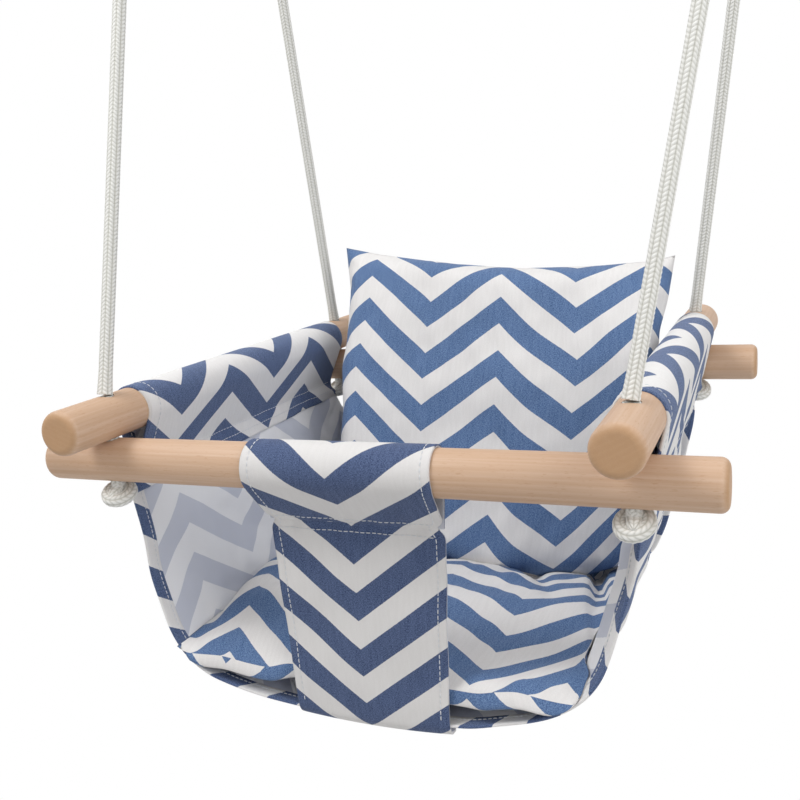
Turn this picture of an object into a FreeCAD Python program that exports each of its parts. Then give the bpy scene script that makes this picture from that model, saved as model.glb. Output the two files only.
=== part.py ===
import FreeCAD, Part
import math
import os

from FreeCAD import Vector

# Hanging baby swing: four wooden rails on four ropes, a sewn canvas seat and two cushions.
#
# Everything is built with z = 0 at the axes of the front and back rails, +X to the right, +Y to the
# rear and +Z up, and is then lowered so that the origin is where the hooks bear in the four rope eyes.

os.makedirs("parts", exist_ok=True)

# Driving dimensions, mm and degrees

# Rails
RAIL_DIA = 30.0
RAIL_LENGTH = 450.0
RAIL_END_ROUND = 5.0
HOLE_TO_END = 50.0

# Ropes
ROPE_DIA = 9.5
ROPE_IN_HOLE = 0.75
CORE_BELOW_RAIL_TOP = 0.5
KNOT_DIA = 25.0
KNOT_HEIGHT = 18.0
KNOT_ROUND = 7.0
KNOT_UNDER_RAIL = 0.2
EYE_KNOT_DIA = 24.0
EYE_KNOT_HEIGHT = 20.0
EYE_INNER_DIA = 30.0

# How the legs hang: each side's front and rear leg point at an apex above the centre of mass
APEX_HEIGHT = 870.0
BALANCE_Y = 32.5
PIVOT_HEIGHT = 352.0
LEG_FOOT_GAP = 3.0
LEG_TOP_GAP = 4.0
EYE_X = {"front_left": -170.0, "front_right": 224.5, "back_left": -171.5, "back_right": 218.5}

# Canvas
CLOTH = 1.2
CLOTH_ON_RAIL = 0.3
SEAM_GAP = 0.3

# Sleeves over the side rails
SIDE_SLEEVE_END_GAP = 4.0
SIDE_TIP_OUTSIDE_AXIS = 4.0
SIDE_TIP_Z = -22.0

# Sling, as half widths and heights of its outer face at the front edge
SLING_FRONT_SET_BACK = 15.0
SLING_REAR_SET_FORWARD = 20.0
SIDE_FOOT_HALF = 157.0
SIDE_FOOT_Z = -128.0
BASE_EDGE_HALF = 110.0
BASE_EDGE_Z = -172.0
BASE_MID_Z = -182.0
CORNER_BULGE = 9.0
REAR_DROP = 14.0
REAR_NARROWING = 3.0

# Back panel and its sleeve
BACK_SLEEVE_WIDTH = 292.0
BACK_TIP_Z = -46.0
BACK_TIP_SET_BACK = 2.0
BACK_SHOULDER_DROP = 16.0
BACK_FOOT_BEHIND_SLING = 3.5

# Crotch strap and its sleeve
STRAP_X = -3.0
STRAP_TOP_WIDTH = 124.0
STRAP_FOOT_WIDTH = 111.0
STRAP_TIP_Z = -40.0
STRAP_TIP_SET_BACK = 12.0
STRAP_FOOT_ABOVE_BASE = 6.0

# Seat cushion
SEAT_CUSHION_SIDE_GAP = 14.5
SEAT_CUSHION_X = -2.0
SEAT_CUSHION_FRONT_GAP = 2.0
SEAT_CUSHION_REAR_GAP = 35.0
SEAT_CUSHION_SEAM_Z = -144.0
SEAT_CUSHION_CROWN_Z = -130.0
SEAT_CUSHION_ON_SLING = 0.8
SEAT_CUSHION_EDGE_BULGE = 3.0
SEAM_TIP_SHARE = 5.0
PRESSED_FRONT_Y = 5.0
PRESSED_TOP_Z = -161.0

# Back cushion
BACK_CUSHION_WIDTH = 280.0
BACK_CUSHION_HEIGHT = 260.0
BACK_CUSHION_THICK = 56.0
BACK_CUSHION_ROUND = 22.0
BACK_CUSHION_X = 2.0
BACK_CUSHION_BEFORE_RAIL = 76.0
BACK_CUSHION_Z = -20.0
BACK_CUSHION_LEAN = 18.4
BACK_CUSHION_ROLL = 2.2

# Cushion make-up
COVER = 1.2
FILLING_GAP = 0.3

# What follows from them
RAIL_R = RAIL_DIA / 2
ROPE_R = ROPE_DIA / 2
HALF_SPACING = RAIL_LENGTH / 2 - HOLE_TO_END
SIDE_RAIL_Z = RAIL_DIA
RAIL_TOP_Z = SIDE_RAIL_Z + RAIL_R
LEG_FOOT_Z = RAIL_TOP_Z + LEG_FOOT_GAP
SLEEVE_OUTER_R = RAIL_R + CLOTH_ON_RAIL + CLOTH
SLEEVE_INNER_R = RAIL_R + CLOTH_ON_RAIL
SIDE_SLEEVE_LENGTH = 2 * (HALF_SPACING - RAIL_R - SIDE_SLEEVE_END_GAP)
SIDE_TIP_HALF = HALF_SPACING + SIDE_TIP_OUTSIDE_AXIS
SLING_FRONT_Y = -HALF_SPACING + SLING_FRONT_SET_BACK
SLING_REAR_Y = HALF_SPACING - SLING_REAR_SET_FORWARD
BACK_FOOT_Y = SLING_REAR_Y + BACK_FOOT_BEHIND_SLING
STRAP_FOOT_Z = BASE_MID_Z + STRAP_FOOT_ABOVE_BASE
SEAT_CUSHION_WIDTH = 2 * (SIDE_FOOT_HALF - SEAT_CUSHION_SIDE_GAP)
SEAT_CUSHION_FRONT_Y = SLING_FRONT_Y + SEAT_CUSHION_FRONT_GAP
SEAT_CUSHION_DEPTH = SLING_REAR_Y - SEAT_CUSHION_REAR_GAP - SEAT_CUSHION_FRONT_Y
BACK_CUSHION_CENTRE = Vector(BACK_CUSHION_X, HALF_SPACING - BACK_CUSHION_BEFORE_RAIL, BACK_CUSHION_Z)
EYE_KNOT_BOTTOM_Z = PIVOT_HEIGHT + LEG_TOP_GAP
EYE_CENTRE_Z = EYE_KNOT_BOTTOM_Z + EYE_KNOT_HEIGHT + EYE_INNER_DIA / 2
HOOK_Z = EYE_CENTRE_Z + EYE_INNER_DIA / 2
CORNERS = {"front_left": (-1, -1), "front_right": (1, -1), "back_left": (-1, 1), "back_right": (1, 1)}


def in_xz(y):
    """A map from (u, v) to the upright plane across the seat at y."""
    return lambda u, v: Vector(u, y, v)


def in_yz(x):
    """A map from (u, v) to the upright plane along the seat at x."""
    return lambda u, v: Vector(x, u, v)


def solid_from(edges, travel):
    """The solid swept by the face inside a closed chain of edges along the vector travel."""
    return Part.Face(Part.Wire(edges)).extrude(travel)


def polyline_edges(points):
    """Straight edges through the points in turn."""
    return [Part.LineSegment(a, b).toShape() for a, b in zip(points, points[1:])]


# Wood

def rail(centre, axis):
    """One rail about its centre: a round rod with rounded ends and its two upright rope holes."""
    rod = Part.makeCylinder(RAIL_R, RAIL_LENGTH, centre - axis * (RAIL_LENGTH / 2), axis)
    rims = [e for e in rod.Edges if isinstance(e.Curve, Part.Circle)]
    rod = rod.makeFillet(RAIL_END_ROUND, rims)
    for side in (-1, 1):
        mouth = centre + axis * (side * HALF_SPACING) - Vector(0, 0, RAIL_DIA)
        rod = rod.cut(Part.makeCylinder(ROPE_R + ROPE_IN_HOLE, 2 * RAIL_DIA, mouth))
    return rod


def rails():
    """The front and back rails across, and the two side rails resting on them."""
    across, along = Vector(1, 0, 0), Vector(0, 1, 0)
    return {
        "front_rail": rail(Vector(0, -HALF_SPACING, 0), across),
        "back_rail": rail(Vector(0, HALF_SPACING, 0), across),
        "left_rail": rail(Vector(-HALF_SPACING, 0, SIDE_RAIL_Z), along),
        "right_rail": rail(Vector(HALF_SPACING, 0, SIDE_RAIL_Z), along),
    }


# Rope

def round_knot(centre_x, centre_y, bottom_z, diameter, height):
    """A knot drawn tight: a short round lump with its rims rounded."""
    lump = Part.makeCylinder(diameter / 2, height, Vector(centre_x, centre_y, bottom_z))
    rims = [e for e in lump.Edges if isinstance(e.Curve, Part.Circle)]
    return lump.makeFillet(KNOT_ROUND, rims)


def leg_top(corner):
    """The top end of a leg, on its line from the hole to the apex."""
    foot_y = CORNERS[corner][1] * HALF_SPACING
    share = (PIVOT_HEIGHT - LEG_FOOT_Z) / (APEX_HEIGHT - LEG_FOOT_Z)
    return Vector(EYE_X[corner], foot_y + share * (BALANCE_Y - foot_y), PIVOT_HEIGHT)


def rope_parts(corner):
    """One rope: its leg, the core inside the crossed rails, the stopper knot and the eye."""
    side, end = CORNERS[corner]
    x, y = side * HALF_SPACING, end * HALF_SPACING
    foot, top = Vector(x, y, LEG_FOOT_Z), leg_top(corner)
    knot_top_z = -RAIL_R - KNOT_UNDER_RAIL
    core_height = RAIL_TOP_Z - CORE_BELOW_RAIL_TOP - knot_top_z
    loop = Part.makeTorus(EYE_INNER_DIA / 2 + ROPE_R, ROPE_R, Vector(top.x, top.y, EYE_CENTRE_Z),
                          Vector(0, 1, 0))
    eye_knot = round_knot(top.x, top.y, EYE_KNOT_BOTTOM_Z, EYE_KNOT_DIA, EYE_KNOT_HEIGHT)
    return {
        corner + "_rope": Part.makeCylinder(ROPE_R, (top - foot).Length, foot, top - foot),
        corner + "_rope_core": Part.makeCylinder(ROPE_R, core_height, Vector(x, y, knot_top_z)),
        corner + "_knot": round_knot(x, y, knot_top_z - KNOT_HEIGHT, KNOT_DIA, KNOT_HEIGHT),
        corner + "_eye": eye_knot.fuse(loop).removeSplitter(),
    }


# Canvas

def teardrop(centre, tip, radius, plane):
    """Edges round a circle and its two tangents to the tip, all as (u, v) in a plane."""
    du, dv = tip[0] - centre[0], tip[1] - centre[1]
    towards_tip = math.atan2(dv, du)
    spread = math.acos(radius / math.hypot(du, dv))

    def on_circle(angle):
        return plane(centre[0] + radius * math.cos(angle), centre[1] + radius * math.sin(angle))

    first, last = on_circle(towards_tip + spread), on_circle(towards_tip - spread)
    arc = Part.Arc(first, on_circle(towards_tip + math.pi), last).toShape()
    return [arc] + polyline_edges([last, plane(*tip), first])


def sleeve(centre, tip, plane, travel):
    """Cloth turned round a rail and sewn to itself at the tip: the outer teardrop less the inner."""
    share = SLEEVE_INNER_R / SLEEVE_OUTER_R
    inner_tip = tuple(c + share * (t - c) for c, t in zip(centre, tip))
    outer = solid_from(teardrop(centre, tip, SLEEVE_OUTER_R, plane), travel)
    return outer.cut(solid_from(teardrop(centre, inner_tip, SLEEVE_INNER_R, plane), travel))


def side_sleeve(side):
    """The sling's end turned over one side rail."""
    start = in_xz(-SIDE_SLEEVE_LENGTH / 2)
    centre, tip = (side * HALF_SPACING, SIDE_RAIL_Z), (side * SIDE_TIP_HALF, SIDE_TIP_Z)
    return sleeve(centre, tip, start, Vector(0, SIDE_SLEEVE_LENGTH, 0))


def sling_edges(y, inset, rearward):
    """The U of the sling at y, left to right; rearward goes from 0 at its front to 1 at its rear.

    Each side is a straight line, each lower corner an arc, and the base one shallow arc. Towards the
    rear the lower part is deeper by REAR_DROP and each half is narrower by REAR_NARROWING.
    """
    plane = in_xz(y)
    drop, narrowing = rearward * REAR_DROP, rearward * REAR_NARROWING
    foot = (SIDE_FOOT_HALF - narrowing - inset, SIDE_FOOT_Z - drop)
    edge = (BASE_EDGE_HALF - narrowing, BASE_EDGE_Z + inset - drop)
    chord = math.hypot(foot[0] - edge[0], foot[1] - edge[1])
    bulge = (foot[1] - edge[1]) / chord, (foot[0] - edge[0]) / chord
    corner = ((foot[0] + edge[0]) / 2 + CORNER_BULGE * bulge[0],
              (foot[1] + edge[1]) / 2 - CORNER_BULGE * bulge[1])
    base = plane(0, BASE_MID_Z + inset - drop)

    def at(side, point):
        return plane(side * point[0], point[1])

    top = (SIDE_TIP_HALF - inset, SIDE_TIP_Z - SEAM_GAP)
    return [
        Part.LineSegment(at(-1, top), at(-1, foot)).toShape(),
        Part.Arc(at(-1, foot), at(-1, corner), at(-1, edge)).toShape(),
        Part.Arc(at(-1, edge), base, at(1, edge)).toShape(),
        Part.Arc(at(1, edge), at(1, corner), at(1, foot)).toShape(),
        Part.LineSegment(at(1, foot), at(1, top)).toShape(),
    ]


def joined(outer, inner):
    """A closed wire of two open chains, their ends joined by straight edges."""
    outer_points, inner_points = Part.Wire(outer).OrderedVertexes, Part.Wire(inner).OrderedVertexes
    ends = [Part.LineSegment(outer_points[-1].Point, inner_points[-1].Point).toShape(),
            Part.LineSegment(inner_points[0].Point, outer_points[0].Point).toShape()]
    return Part.Wire(Part.__sortEdges__(outer + inner + ends))


def sling():
    """The U of canvas from one side seam to the other, deeper at the rear."""
    sections = [joined(sling_edges(y, 0, rearward), sling_edges(y, CLOTH, rearward))
                for y, rearward in ((SLING_FRONT_Y, 0), (SLING_REAR_Y, 1))]
    return Part.makeLoft(sections, True, True)


def back_sleeve():
    """The back panel's top turned over the back rail."""
    plane = in_yz(-BACK_SLEEVE_WIDTH / 2)
    tip = (HALF_SPACING + BACK_TIP_SET_BACK, BACK_TIP_Z)
    return sleeve((HALF_SPACING, 0), tip, plane, Vector(BACK_SLEEVE_WIDTH, 0, 0))


def back_panel():
    """The panel below the back sleeve: it widens to the sling's outline and follows it down."""
    top_z = BACK_TIP_Z - SEAM_GAP
    shoulder_z = top_z - BACK_SHOULDER_DROP
    top_y = HALF_SPACING + BACK_TIP_SET_BACK
    outline = sling_edges(top_y, 0, 1)
    shoulder, foot = (vertex.Point for vertex in outline[0].Vertexes)
    share = (shoulder.z - shoulder_z) / (shoulder.z - foot.z)
    half = -(shoulder.x + share * (foot.x - shoulder.x))
    plane = in_xz(top_y)
    top = [plane(half, shoulder_z), plane(BACK_SLEEVE_WIDTH / 2, top_z),
           plane(-BACK_SLEEVE_WIDTH / 2, top_z), plane(-half, shoulder_z), foot]
    right_foot = Vector(-foot.x, foot.y, foot.z)
    edges = outline[1:4] + polyline_edges([right_foot] + top)
    panel = solid_from(Part.__sortEdges__(edges), Vector(0, -CLOTH, 0))
    fall = top_z - (BASE_MID_Z - REAR_DROP)
    slant = math.degrees(math.asin((top_y - BACK_FOOT_Y) / fall))
    panel.rotate(plane(0, top_z), Vector(1, 0, 0), -slant)
    return panel


def strap_sleeve():
    """The strap's top turned over the front rail."""
    plane = in_yz(STRAP_X - STRAP_TOP_WIDTH / 2)
    tip = (-HALF_SPACING + STRAP_TIP_SET_BACK, STRAP_TIP_Z)
    return sleeve((-HALF_SPACING, 0), tip, plane, Vector(STRAP_TOP_WIDTH, 0, 0))


def crotch_strap():
    """The strap from its sleeve down to the sling's front edge, a little narrower at its foot."""
    top_y, top_z = -HALF_SPACING + STRAP_TIP_SET_BACK, STRAP_TIP_Z - SEAM_GAP
    foot_y = SLING_FRONT_Y - SEAM_GAP - CLOTH
    corners = [Vector(STRAP_X - STRAP_TOP_WIDTH / 2, top_y, top_z),
               Vector(STRAP_X + STRAP_TOP_WIDTH / 2, top_y, top_z),
               Vector(STRAP_X + STRAP_FOOT_WIDTH / 2, foot_y, STRAP_FOOT_Z),
               Vector(STRAP_X - STRAP_FOOT_WIDTH / 2, foot_y, STRAP_FOOT_Z)]
    return solid_from(polyline_edges(corners + corners[:1]), Vector(0, CLOTH, 0))


# Cushions

def seat_cushion(inset):
    """The seat cushion's outer form, all its faces set in by inset.

    Its underside follows the sling, its top is one arc, and the back cushion presses its rear flat.
    The sharp side seams draw back SEAM_TIP_SHARE times as far as the faces beside them.
    """
    fall = REAR_DROP / (SLING_REAR_Y - SLING_FRONT_Y)
    lift = CLOTH + SEAT_CUSHION_ON_SLING + inset
    front_drop = fall * (SEAT_CUSHION_FRONT_Y - SLING_FRONT_Y)
    half = SEAT_CUSHION_WIDTH / 2 - SEAM_TIP_SHARE * inset
    edge = BASE_EDGE_HALF - REAR_NARROWING - SEAT_CUSHION_EDGE_BULGE - inset
    plane = in_xz(SEAT_CUSHION_FRONT_Y + inset)

    def at(x, z):
        return plane(SEAT_CUSHION_X + x, z - front_drop)

    seam_z = SEAT_CUSHION_SEAM_Z
    edge_z = BASE_EDGE_Z + lift
    mid_x = (half + edge) / 2 + SEAT_CUSHION_EDGE_BULGE
    mid_z = (seam_z + edge_z) / 2 - SEAT_CUSHION_EDGE_BULGE
    edges = [
        Part.Arc(at(-half, seam_z), at(-mid_x, mid_z), at(-edge, edge_z)).toShape(),
        Part.Arc(at(-edge, edge_z), at(0, BASE_MID_Z + lift), at(edge, edge_z)).toShape(),
        Part.Arc(at(edge, edge_z), at(mid_x, mid_z), at(half, seam_z)).toShape(),
        Part.Arc(at(half, seam_z), at(0, SEAT_CUSHION_CROWN_Z - inset), at(-half, seam_z)).toShape(),
    ]
    depth = SEAT_CUSHION_DEPTH - 2 * inset
    form = solid_from(edges, Vector(0, depth, -fall * depth))
    pressed = Part.makeBox(2 * SEAT_CUSHION_WIDTH, SEAT_CUSHION_DEPTH, SEAT_CUSHION_WIDTH,
                           Vector(-SEAT_CUSHION_WIDTH, PRESSED_FRONT_Y - inset, PRESSED_TOP_Z - inset))
    return form.cut(pressed)


def back_cushion(inset):
    """The back cushion's outer form: a rounded slab, rolled a little and leaning back."""
    full_size = Vector(BACK_CUSHION_WIDTH, BACK_CUSHION_THICK, BACK_CUSHION_HEIGHT)
    size = full_size - Vector(2 * inset, 2 * inset, 2 * inset)
    slab = Part.makeBox(size.x, size.y, size.z, size * -0.5)
    slab = slab.makeFillet(BACK_CUSHION_ROUND - inset, slab.Edges)
    slab.rotate(Vector(), Vector(0, 1, 0), BACK_CUSHION_ROLL)
    slab.rotate(Vector(), Vector(1, 0, 0), -BACK_CUSHION_LEAN)
    slab.translate(BACK_CUSHION_CENTRE)
    return slab


def cushion_parts(name, form):
    """A cushion's cover and the filling inside it."""
    filling = form(COVER + FILLING_GAP)
    return {name + "_cover": form(0).cut(form(COVER)), name + "_filling": filling}


def all_parts():
    """Every piece by its name, still with z = 0 at the front and back rails' axes."""
    parts = rails()
    for corner in CORNERS:
        parts.update(rope_parts(corner))
    parts["left_sleeve"] = side_sleeve(-1)
    parts["right_sleeve"] = side_sleeve(1)
    parts["sling"] = sling()
    parts["back_sleeve"] = back_sleeve()
    parts["back_panel"] = back_panel()
    parts["strap_sleeve"] = strap_sleeve()
    parts["crotch_strap"] = crotch_strap()
    parts.update(cushion_parts("seat_cushion", seat_cushion))
    parts.update(cushion_parts("back_cushion", back_cushion))
    return parts


for name, shape in all_parts().items():
    shape.translate(Vector(0, 0, -HOOK_Z))
    if not shape.isValid() or shape.Volume <= 0:
        raise ValueError(name + " is not a sound solid")
    shape.exportStep("parts/" + name + ".step")
    print(name, len(shape.Solids), round(shape.Volume, 1))
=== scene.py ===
import logging
import math
from dataclasses import dataclass, field
from enum import Enum

import bpy
import numpy as np
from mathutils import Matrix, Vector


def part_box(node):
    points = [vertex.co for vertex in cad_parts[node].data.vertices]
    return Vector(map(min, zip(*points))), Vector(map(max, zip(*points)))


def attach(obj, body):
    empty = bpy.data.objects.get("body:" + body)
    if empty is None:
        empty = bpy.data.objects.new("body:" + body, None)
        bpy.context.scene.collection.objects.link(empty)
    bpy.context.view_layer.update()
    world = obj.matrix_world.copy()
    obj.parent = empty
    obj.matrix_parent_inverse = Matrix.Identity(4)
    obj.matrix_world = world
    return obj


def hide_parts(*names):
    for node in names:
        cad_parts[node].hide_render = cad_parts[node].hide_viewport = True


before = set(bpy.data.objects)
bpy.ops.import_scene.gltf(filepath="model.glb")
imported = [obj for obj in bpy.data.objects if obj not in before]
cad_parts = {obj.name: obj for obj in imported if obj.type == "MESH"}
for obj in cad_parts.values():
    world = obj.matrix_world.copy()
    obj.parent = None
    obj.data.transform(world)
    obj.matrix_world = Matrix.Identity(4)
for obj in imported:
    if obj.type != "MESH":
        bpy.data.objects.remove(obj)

# A hanging baby swing: four beech rails on braided ropes, a canvas seat printed with a zigzag, and
# two loose cushions of the same cloth. The classes below give lengths in millimetres, with x to the
# right, y to the rear and z up from the front rail's axis; Layout.metres turns them into the frame.

Array, Material, Piece = np.ndarray, bpy.types.Material, bpy.types.Object
Tree, Node, Socket = bpy.types.NodeTree, bpy.types.Node, bpy.types.NodeSocket
Value = Socket | float | tuple
Pair = tuple[float, float]
LOG = logging.getLogger("baby_swing")
MM = 0.001
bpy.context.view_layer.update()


# ---------------- named choices

class Corner(Enum):
    """The four ropes, as (side, end): side is -1 at the left, end is -1 at the front."""

    FRONT_LEFT = (-1, -1)
    FRONT_RIGHT = (1, -1)
    BACK_LEFT = (-1, 1)
    BACK_RIGHT = (1, 1)

    @property
    def label(self) -> str:
        """The corner's name in the frame's node names."""
        return self.name.lower()


class Body(Enum):
    """The frame's moving bodies."""

    EYES = "hanging_eyes"
    FRONT_ROPES = "front_ropes"
    SEAT = "seat"
    BACK_ROPES = "back_ropes"
    BACK_CUSHION = "back_cushion"


class Slot(Enum):
    """The record's material slots for the cloth and the rope; the rails have their own."""

    CANVAS = "canvas"
    CUSHION = "cushion_canvas"
    ROPE = "rope"


# ---------------- the frame's sizes

@dataclass(frozen=True)
class Layout:
    """Where the frame's rails and ropes lie, in millimetres from the front rail's axis height."""

    rail_radius: float
    rail_half_length: float
    half_spacing: float
    side_rail_z: float
    axis_height: float

    @classmethod
    def read(cls) -> "Layout":
        """Reads the rails' sizes from the frame.

        Returns:
            The layout of this frame.
        """
        low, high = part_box("front_rail")
        side_low, side_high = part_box("left_rail")
        axis = (low.z + high.z) / 2
        return cls(rail_radius=(high.z - low.z) / 2 / MM, rail_half_length=(high.x - low.x) / 2 / MM,
                   half_spacing=-(low.y + high.y) / 2 / MM,
                   side_rail_z=((side_low.z + side_high.z) / 2 - axis) / MM, axis_height=axis)

    def metres(self, points: Array) -> Array:
        """Millimetres from the front rail's axis height as metres in the frame."""
        return np.asarray(points, float) * MM + np.array([0.0, 0.0, self.axis_height])

    def millimetres(self, point: Array) -> Array:
        """The reverse of metres."""
        return (np.asarray(point, float) - np.array([0.0, 0.0, self.axis_height])) / MM


LAYOUT = Layout.read()


# ---------------- meshes

CURVE_POINTS = 161       # points that a few given ones are drawn out to
CURVE_ROUNDING = 4       # how many of them a corner is rounded over, each way
NOISE_WAVES = 8          # sine waves in a soft random surface


def grid_quads(rows: int, columns: int, wrap_rows: bool = False, wrap_columns: bool = False) -> Array:
    """The quads of a grid of vertices, where vertex (i, j) has the index i * columns + j.

    Args:
        rows, columns: how many vertices the grid has each way.
        wrap_rows, wrap_columns: whether the last row or column joins the first.

    Returns:
        An (n, 4) array of vertex indices.
    """
    i, j = np.meshgrid(np.arange(rows if wrap_rows else rows - 1),
                       np.arange(columns if wrap_columns else columns - 1), indexing="ij")
    i, j = i.ravel(), j.ravel()
    i_next, j_next = (i + 1) % rows, (j + 1) % columns
    return np.stack([i * columns + j, i_next * columns + j,
                     i_next * columns + j_next, i * columns + j_next], 1)


def make_piece(name: str, points: Array, quads: Array, uv: Array | None = None,
               marks: dict[str, Array] | None = None, in_metres: bool = False) -> Piece:
    """Makes a smooth mesh object from whole arrays.

    Args:
        name: the piece's name.
        points: (n, 3) vertices, in millimetres unless in_metres is set.
        quads: (m, 4) vertex indices.
        uv: (n, 2) cloth coordinates in metres, one for each vertex, or one for each corner of each quad.
        marks: named float attributes, one value for each vertex.
        in_metres: whether the points are metres in the frame already.

    Returns:
        The new object, at the origin.
    """
    mesh = bpy.data.meshes.new(name)
    places = points if in_metres else LAYOUT.metres(points)
    mesh.vertices.add(len(places))
    mesh.vertices.foreach_set("co", np.ascontiguousarray(places, np.float32).ravel())
    mesh.loops.add(quads.size)
    mesh.loops.foreach_set("vertex_index", np.ascontiguousarray(quads, np.int32).ravel())
    mesh.polygons.add(len(quads))
    mesh.polygons.foreach_set("loop_start", np.arange(0, quads.size, 4, dtype=np.int32))
    mesh.update(calc_edges=True)
    mesh.polygons.foreach_set("use_smooth", np.ones(len(quads), bool))
    if uv is not None:
        layer = mesh.uv_layers.new(name="cloth")
        corners = uv if len(uv) == quads.size else uv[quads.ravel()]
        layer.data.foreach_set("uv", np.ascontiguousarray(corners, np.float32).ravel())
    for key, values in (marks or {}).items():
        mesh.attributes.new(key, "FLOAT", "POINT").data.foreach_set("value", values.astype(np.float32))
    piece = bpy.data.objects.new(name, mesh)
    bpy.context.scene.collection.objects.link(piece)
    return piece


def unit(vectors: Array) -> Array:
    """Vectors scaled to length 1."""
    return vectors / np.maximum(np.linalg.norm(vectors, axis=-1, keepdims=True), 1e-12)


def surface_normals(face: Array) -> Array:
    """Unit normals of a grid of points: the cross product of its two directions."""
    return unit(np.cross(np.gradient(face, axis=0), np.gradient(face, axis=1)))


def cloth_shell(name: str, face: Array, uv: Array, cloth: float) -> Piece:
    """A closed sheet: the printed face, the reverse one cloth thickness behind it, and the cut edges.

    Args:
        name: the piece's name.
        face: (rows, columns, 3) points of the printed face, whose normals point out of it.
        uv: (rows, columns, 2) cloth coordinates in metres.
        cloth: the thickness in millimetres.

    Returns:
        The sheet, with the attribute "reverse" at 0 on the printed face and 1 behind it.
    """
    rows, columns = face.shape[:2]
    count = rows * columns
    index = np.arange(count).reshape(rows, columns)
    rim = np.concatenate([index[:-1, 0], index[-1, :-1], index[:0:-1, -1], index[0, :0:-1]])
    rim_next = np.roll(rim, -1)
    front = grid_quads(rows, columns)
    sides = np.stack([rim, rim + count, rim_next + count, rim_next], 1)
    back = face - cloth * surface_normals(face)
    points = np.concatenate([face.reshape(-1, 3), back.reshape(-1, 3)])
    quads = np.concatenate([front, front[:, ::-1] + count, sides])
    both = np.concatenate([uv.reshape(-1, 2)] * 2)
    return make_piece(name, points, quads, both, {"reverse": np.repeat([0.0, 1.0], count)})


def smooth_rows(points: Array, reach: int) -> Array:
    """A running mean down the first axis that keeps the two ends, so that kinks turn in a curve.

    The weights are a raised cosine, and past each end the rows before it are turned about it.

    Args:
        points: (n, ...) values.
        reach: how many rows the mean takes in on each side.

    Returns:
        As many rows, smoothed.
    """
    weights = np.hanning(2 * reach + 3)[1:-1]
    weights /= weights.sum()
    before = 2 * points[:1] - points[reach:0:-1]
    after = 2 * points[-1:] - points[-2:-reach - 2:-1]
    padded = np.concatenate([before, points, after])
    return sum(w * padded[k:k + len(points)] for k, w in enumerate(weights))


def along(points: Array) -> Array:
    """Distance along a chain of points from its first."""
    return np.concatenate([[0.0], np.cumsum(np.linalg.norm(np.diff(points, axis=0), axis=1))])


def resampled(points: Array, count: int) -> Array:
    """A chain of points as points spaced evenly along it.

    Args:
        points: (n, dimensions) points.
        count: how many points to give back.

    Returns:
        (count, dimensions) points.
    """
    distance = along(points)
    marks = np.linspace(0, distance[-1], count)
    return np.stack([np.interp(marks, distance, points[:, k]) for k in range(points.shape[1])], 1)


def held_above(value: Array, floor: Array, blend: float) -> Array:
    """The value kept above a floor, the corner between them rounded over about blend."""
    return floor + blend * np.logaddexp(0.0, (value - floor) / blend)


def fade(value: Array, low: float, high: float) -> Array:
    """0 before low, 1 after high and a smooth rise between, for low above or below high."""
    share = np.clip((np.asarray(value, float) - low) / (high - low), 0, 1)
    return share * share * (3 - 2 * share)


def hump(value: Array, middle: float, spread: float) -> Array:
    """A bell curve: 1 at the middle, and 1 / e at spread from it."""
    return np.exp(-((value - middle) / spread) ** 2)


def bent_line(points: tuple | Array, count: int, reach: int) -> Array:
    """A few corner points as count even points, its corners rounded over reach points each way."""
    return smooth_rows(resampled(np.array(points, float), count), reach)


def curve_at(points: tuple, share: Array) -> Array:
    """Points of a smooth curve near a few given points, at shares of its length."""
    line = bent_line(points, CURVE_POINTS, CURVE_ROUNDING)
    return on_face(np.stack([line, line]), np.zeros(share.shape), share * (len(line) - 1))


def edge_patch(foot: tuple, top: tuple, left: tuple, right: tuple, p: Array, q: Array) -> Array:
    """A Coons patch, the surface between four edge curves, at shares p across and q up.

    S = (1 - q) foot(p) + q top(p) + (1 - p) left(q) + p right(q), less the bilinear surface of the four
    corners.

    Args:
        foot, top: the edges along p, from left to right.
        left, right: the edges along q, from foot to top.
        p, q: (n,) shares from 0 to 1.

    Returns:
        (n, dimensions) points.
    """
    across, up = p[:, None], q[:, None]
    edges = ((1 - up) * curve_at(foot, p) + up * curve_at(top, p)
             + (1 - across) * curve_at(left, q) + across * curve_at(right, q))
    ends = [np.array(point, float) for point in (foot[0], foot[-1], top[0], top[-1])]
    corners = ((1 - up) * ((1 - across) * ends[0] + across * ends[1])
               + up * ((1 - across) * ends[2] + across * ends[3]))
    return edges - corners


def on_face(face: Array, rows: Array, columns: Array) -> Array:
    """Points of a grid at fractional rows and columns, by bilinear interpolation.

    Args:
        face: (rows, columns, dimensions) points.
        rows, columns: the places, as two arrays of one shape.

    Returns:
        The points, as an array of that shape with one axis more.
    """
    i = np.clip(np.floor(rows).astype(int), 0, face.shape[0] - 2)
    j = np.clip(np.floor(columns).astype(int), 0, face.shape[1] - 2)
    p, q = (rows - i)[..., None], (columns - j)[..., None]
    near = face[i, j] * (1 - q) + face[i, j + 1] * q
    far = face[i + 1, j] * (1 - q) + face[i + 1, j + 1] * q
    return near * (1 - p) + far * p


def smooth_noise(x: Array, y: Array, seed: int) -> Array:
    """A soft random surface from -1 to 1: a sum of sine waves in seeded directions.

    Args:
        x, y: places, in units of about one wave.
        seed: what the waves' directions, phases and rates are drawn from.

    Returns:
        The surface's heights.
    """
    draw = np.random.default_rng(seed)
    turn, phase = draw.uniform(0, 2 * math.pi, NOISE_WAVES), draw.uniform(0, 2 * math.pi, NOISE_WAVES)
    rate = 2 * math.pi * draw.uniform(0.6, 1.5, NOISE_WAVES)
    waves = [np.sin(r * (x * math.cos(t) + y * math.sin(t)) + p) for r, t, p in zip(rate, turn, phase)]
    return sum(waves) / (NOISE_WAVES / 2)


# ---------------- shader nodes

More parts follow.
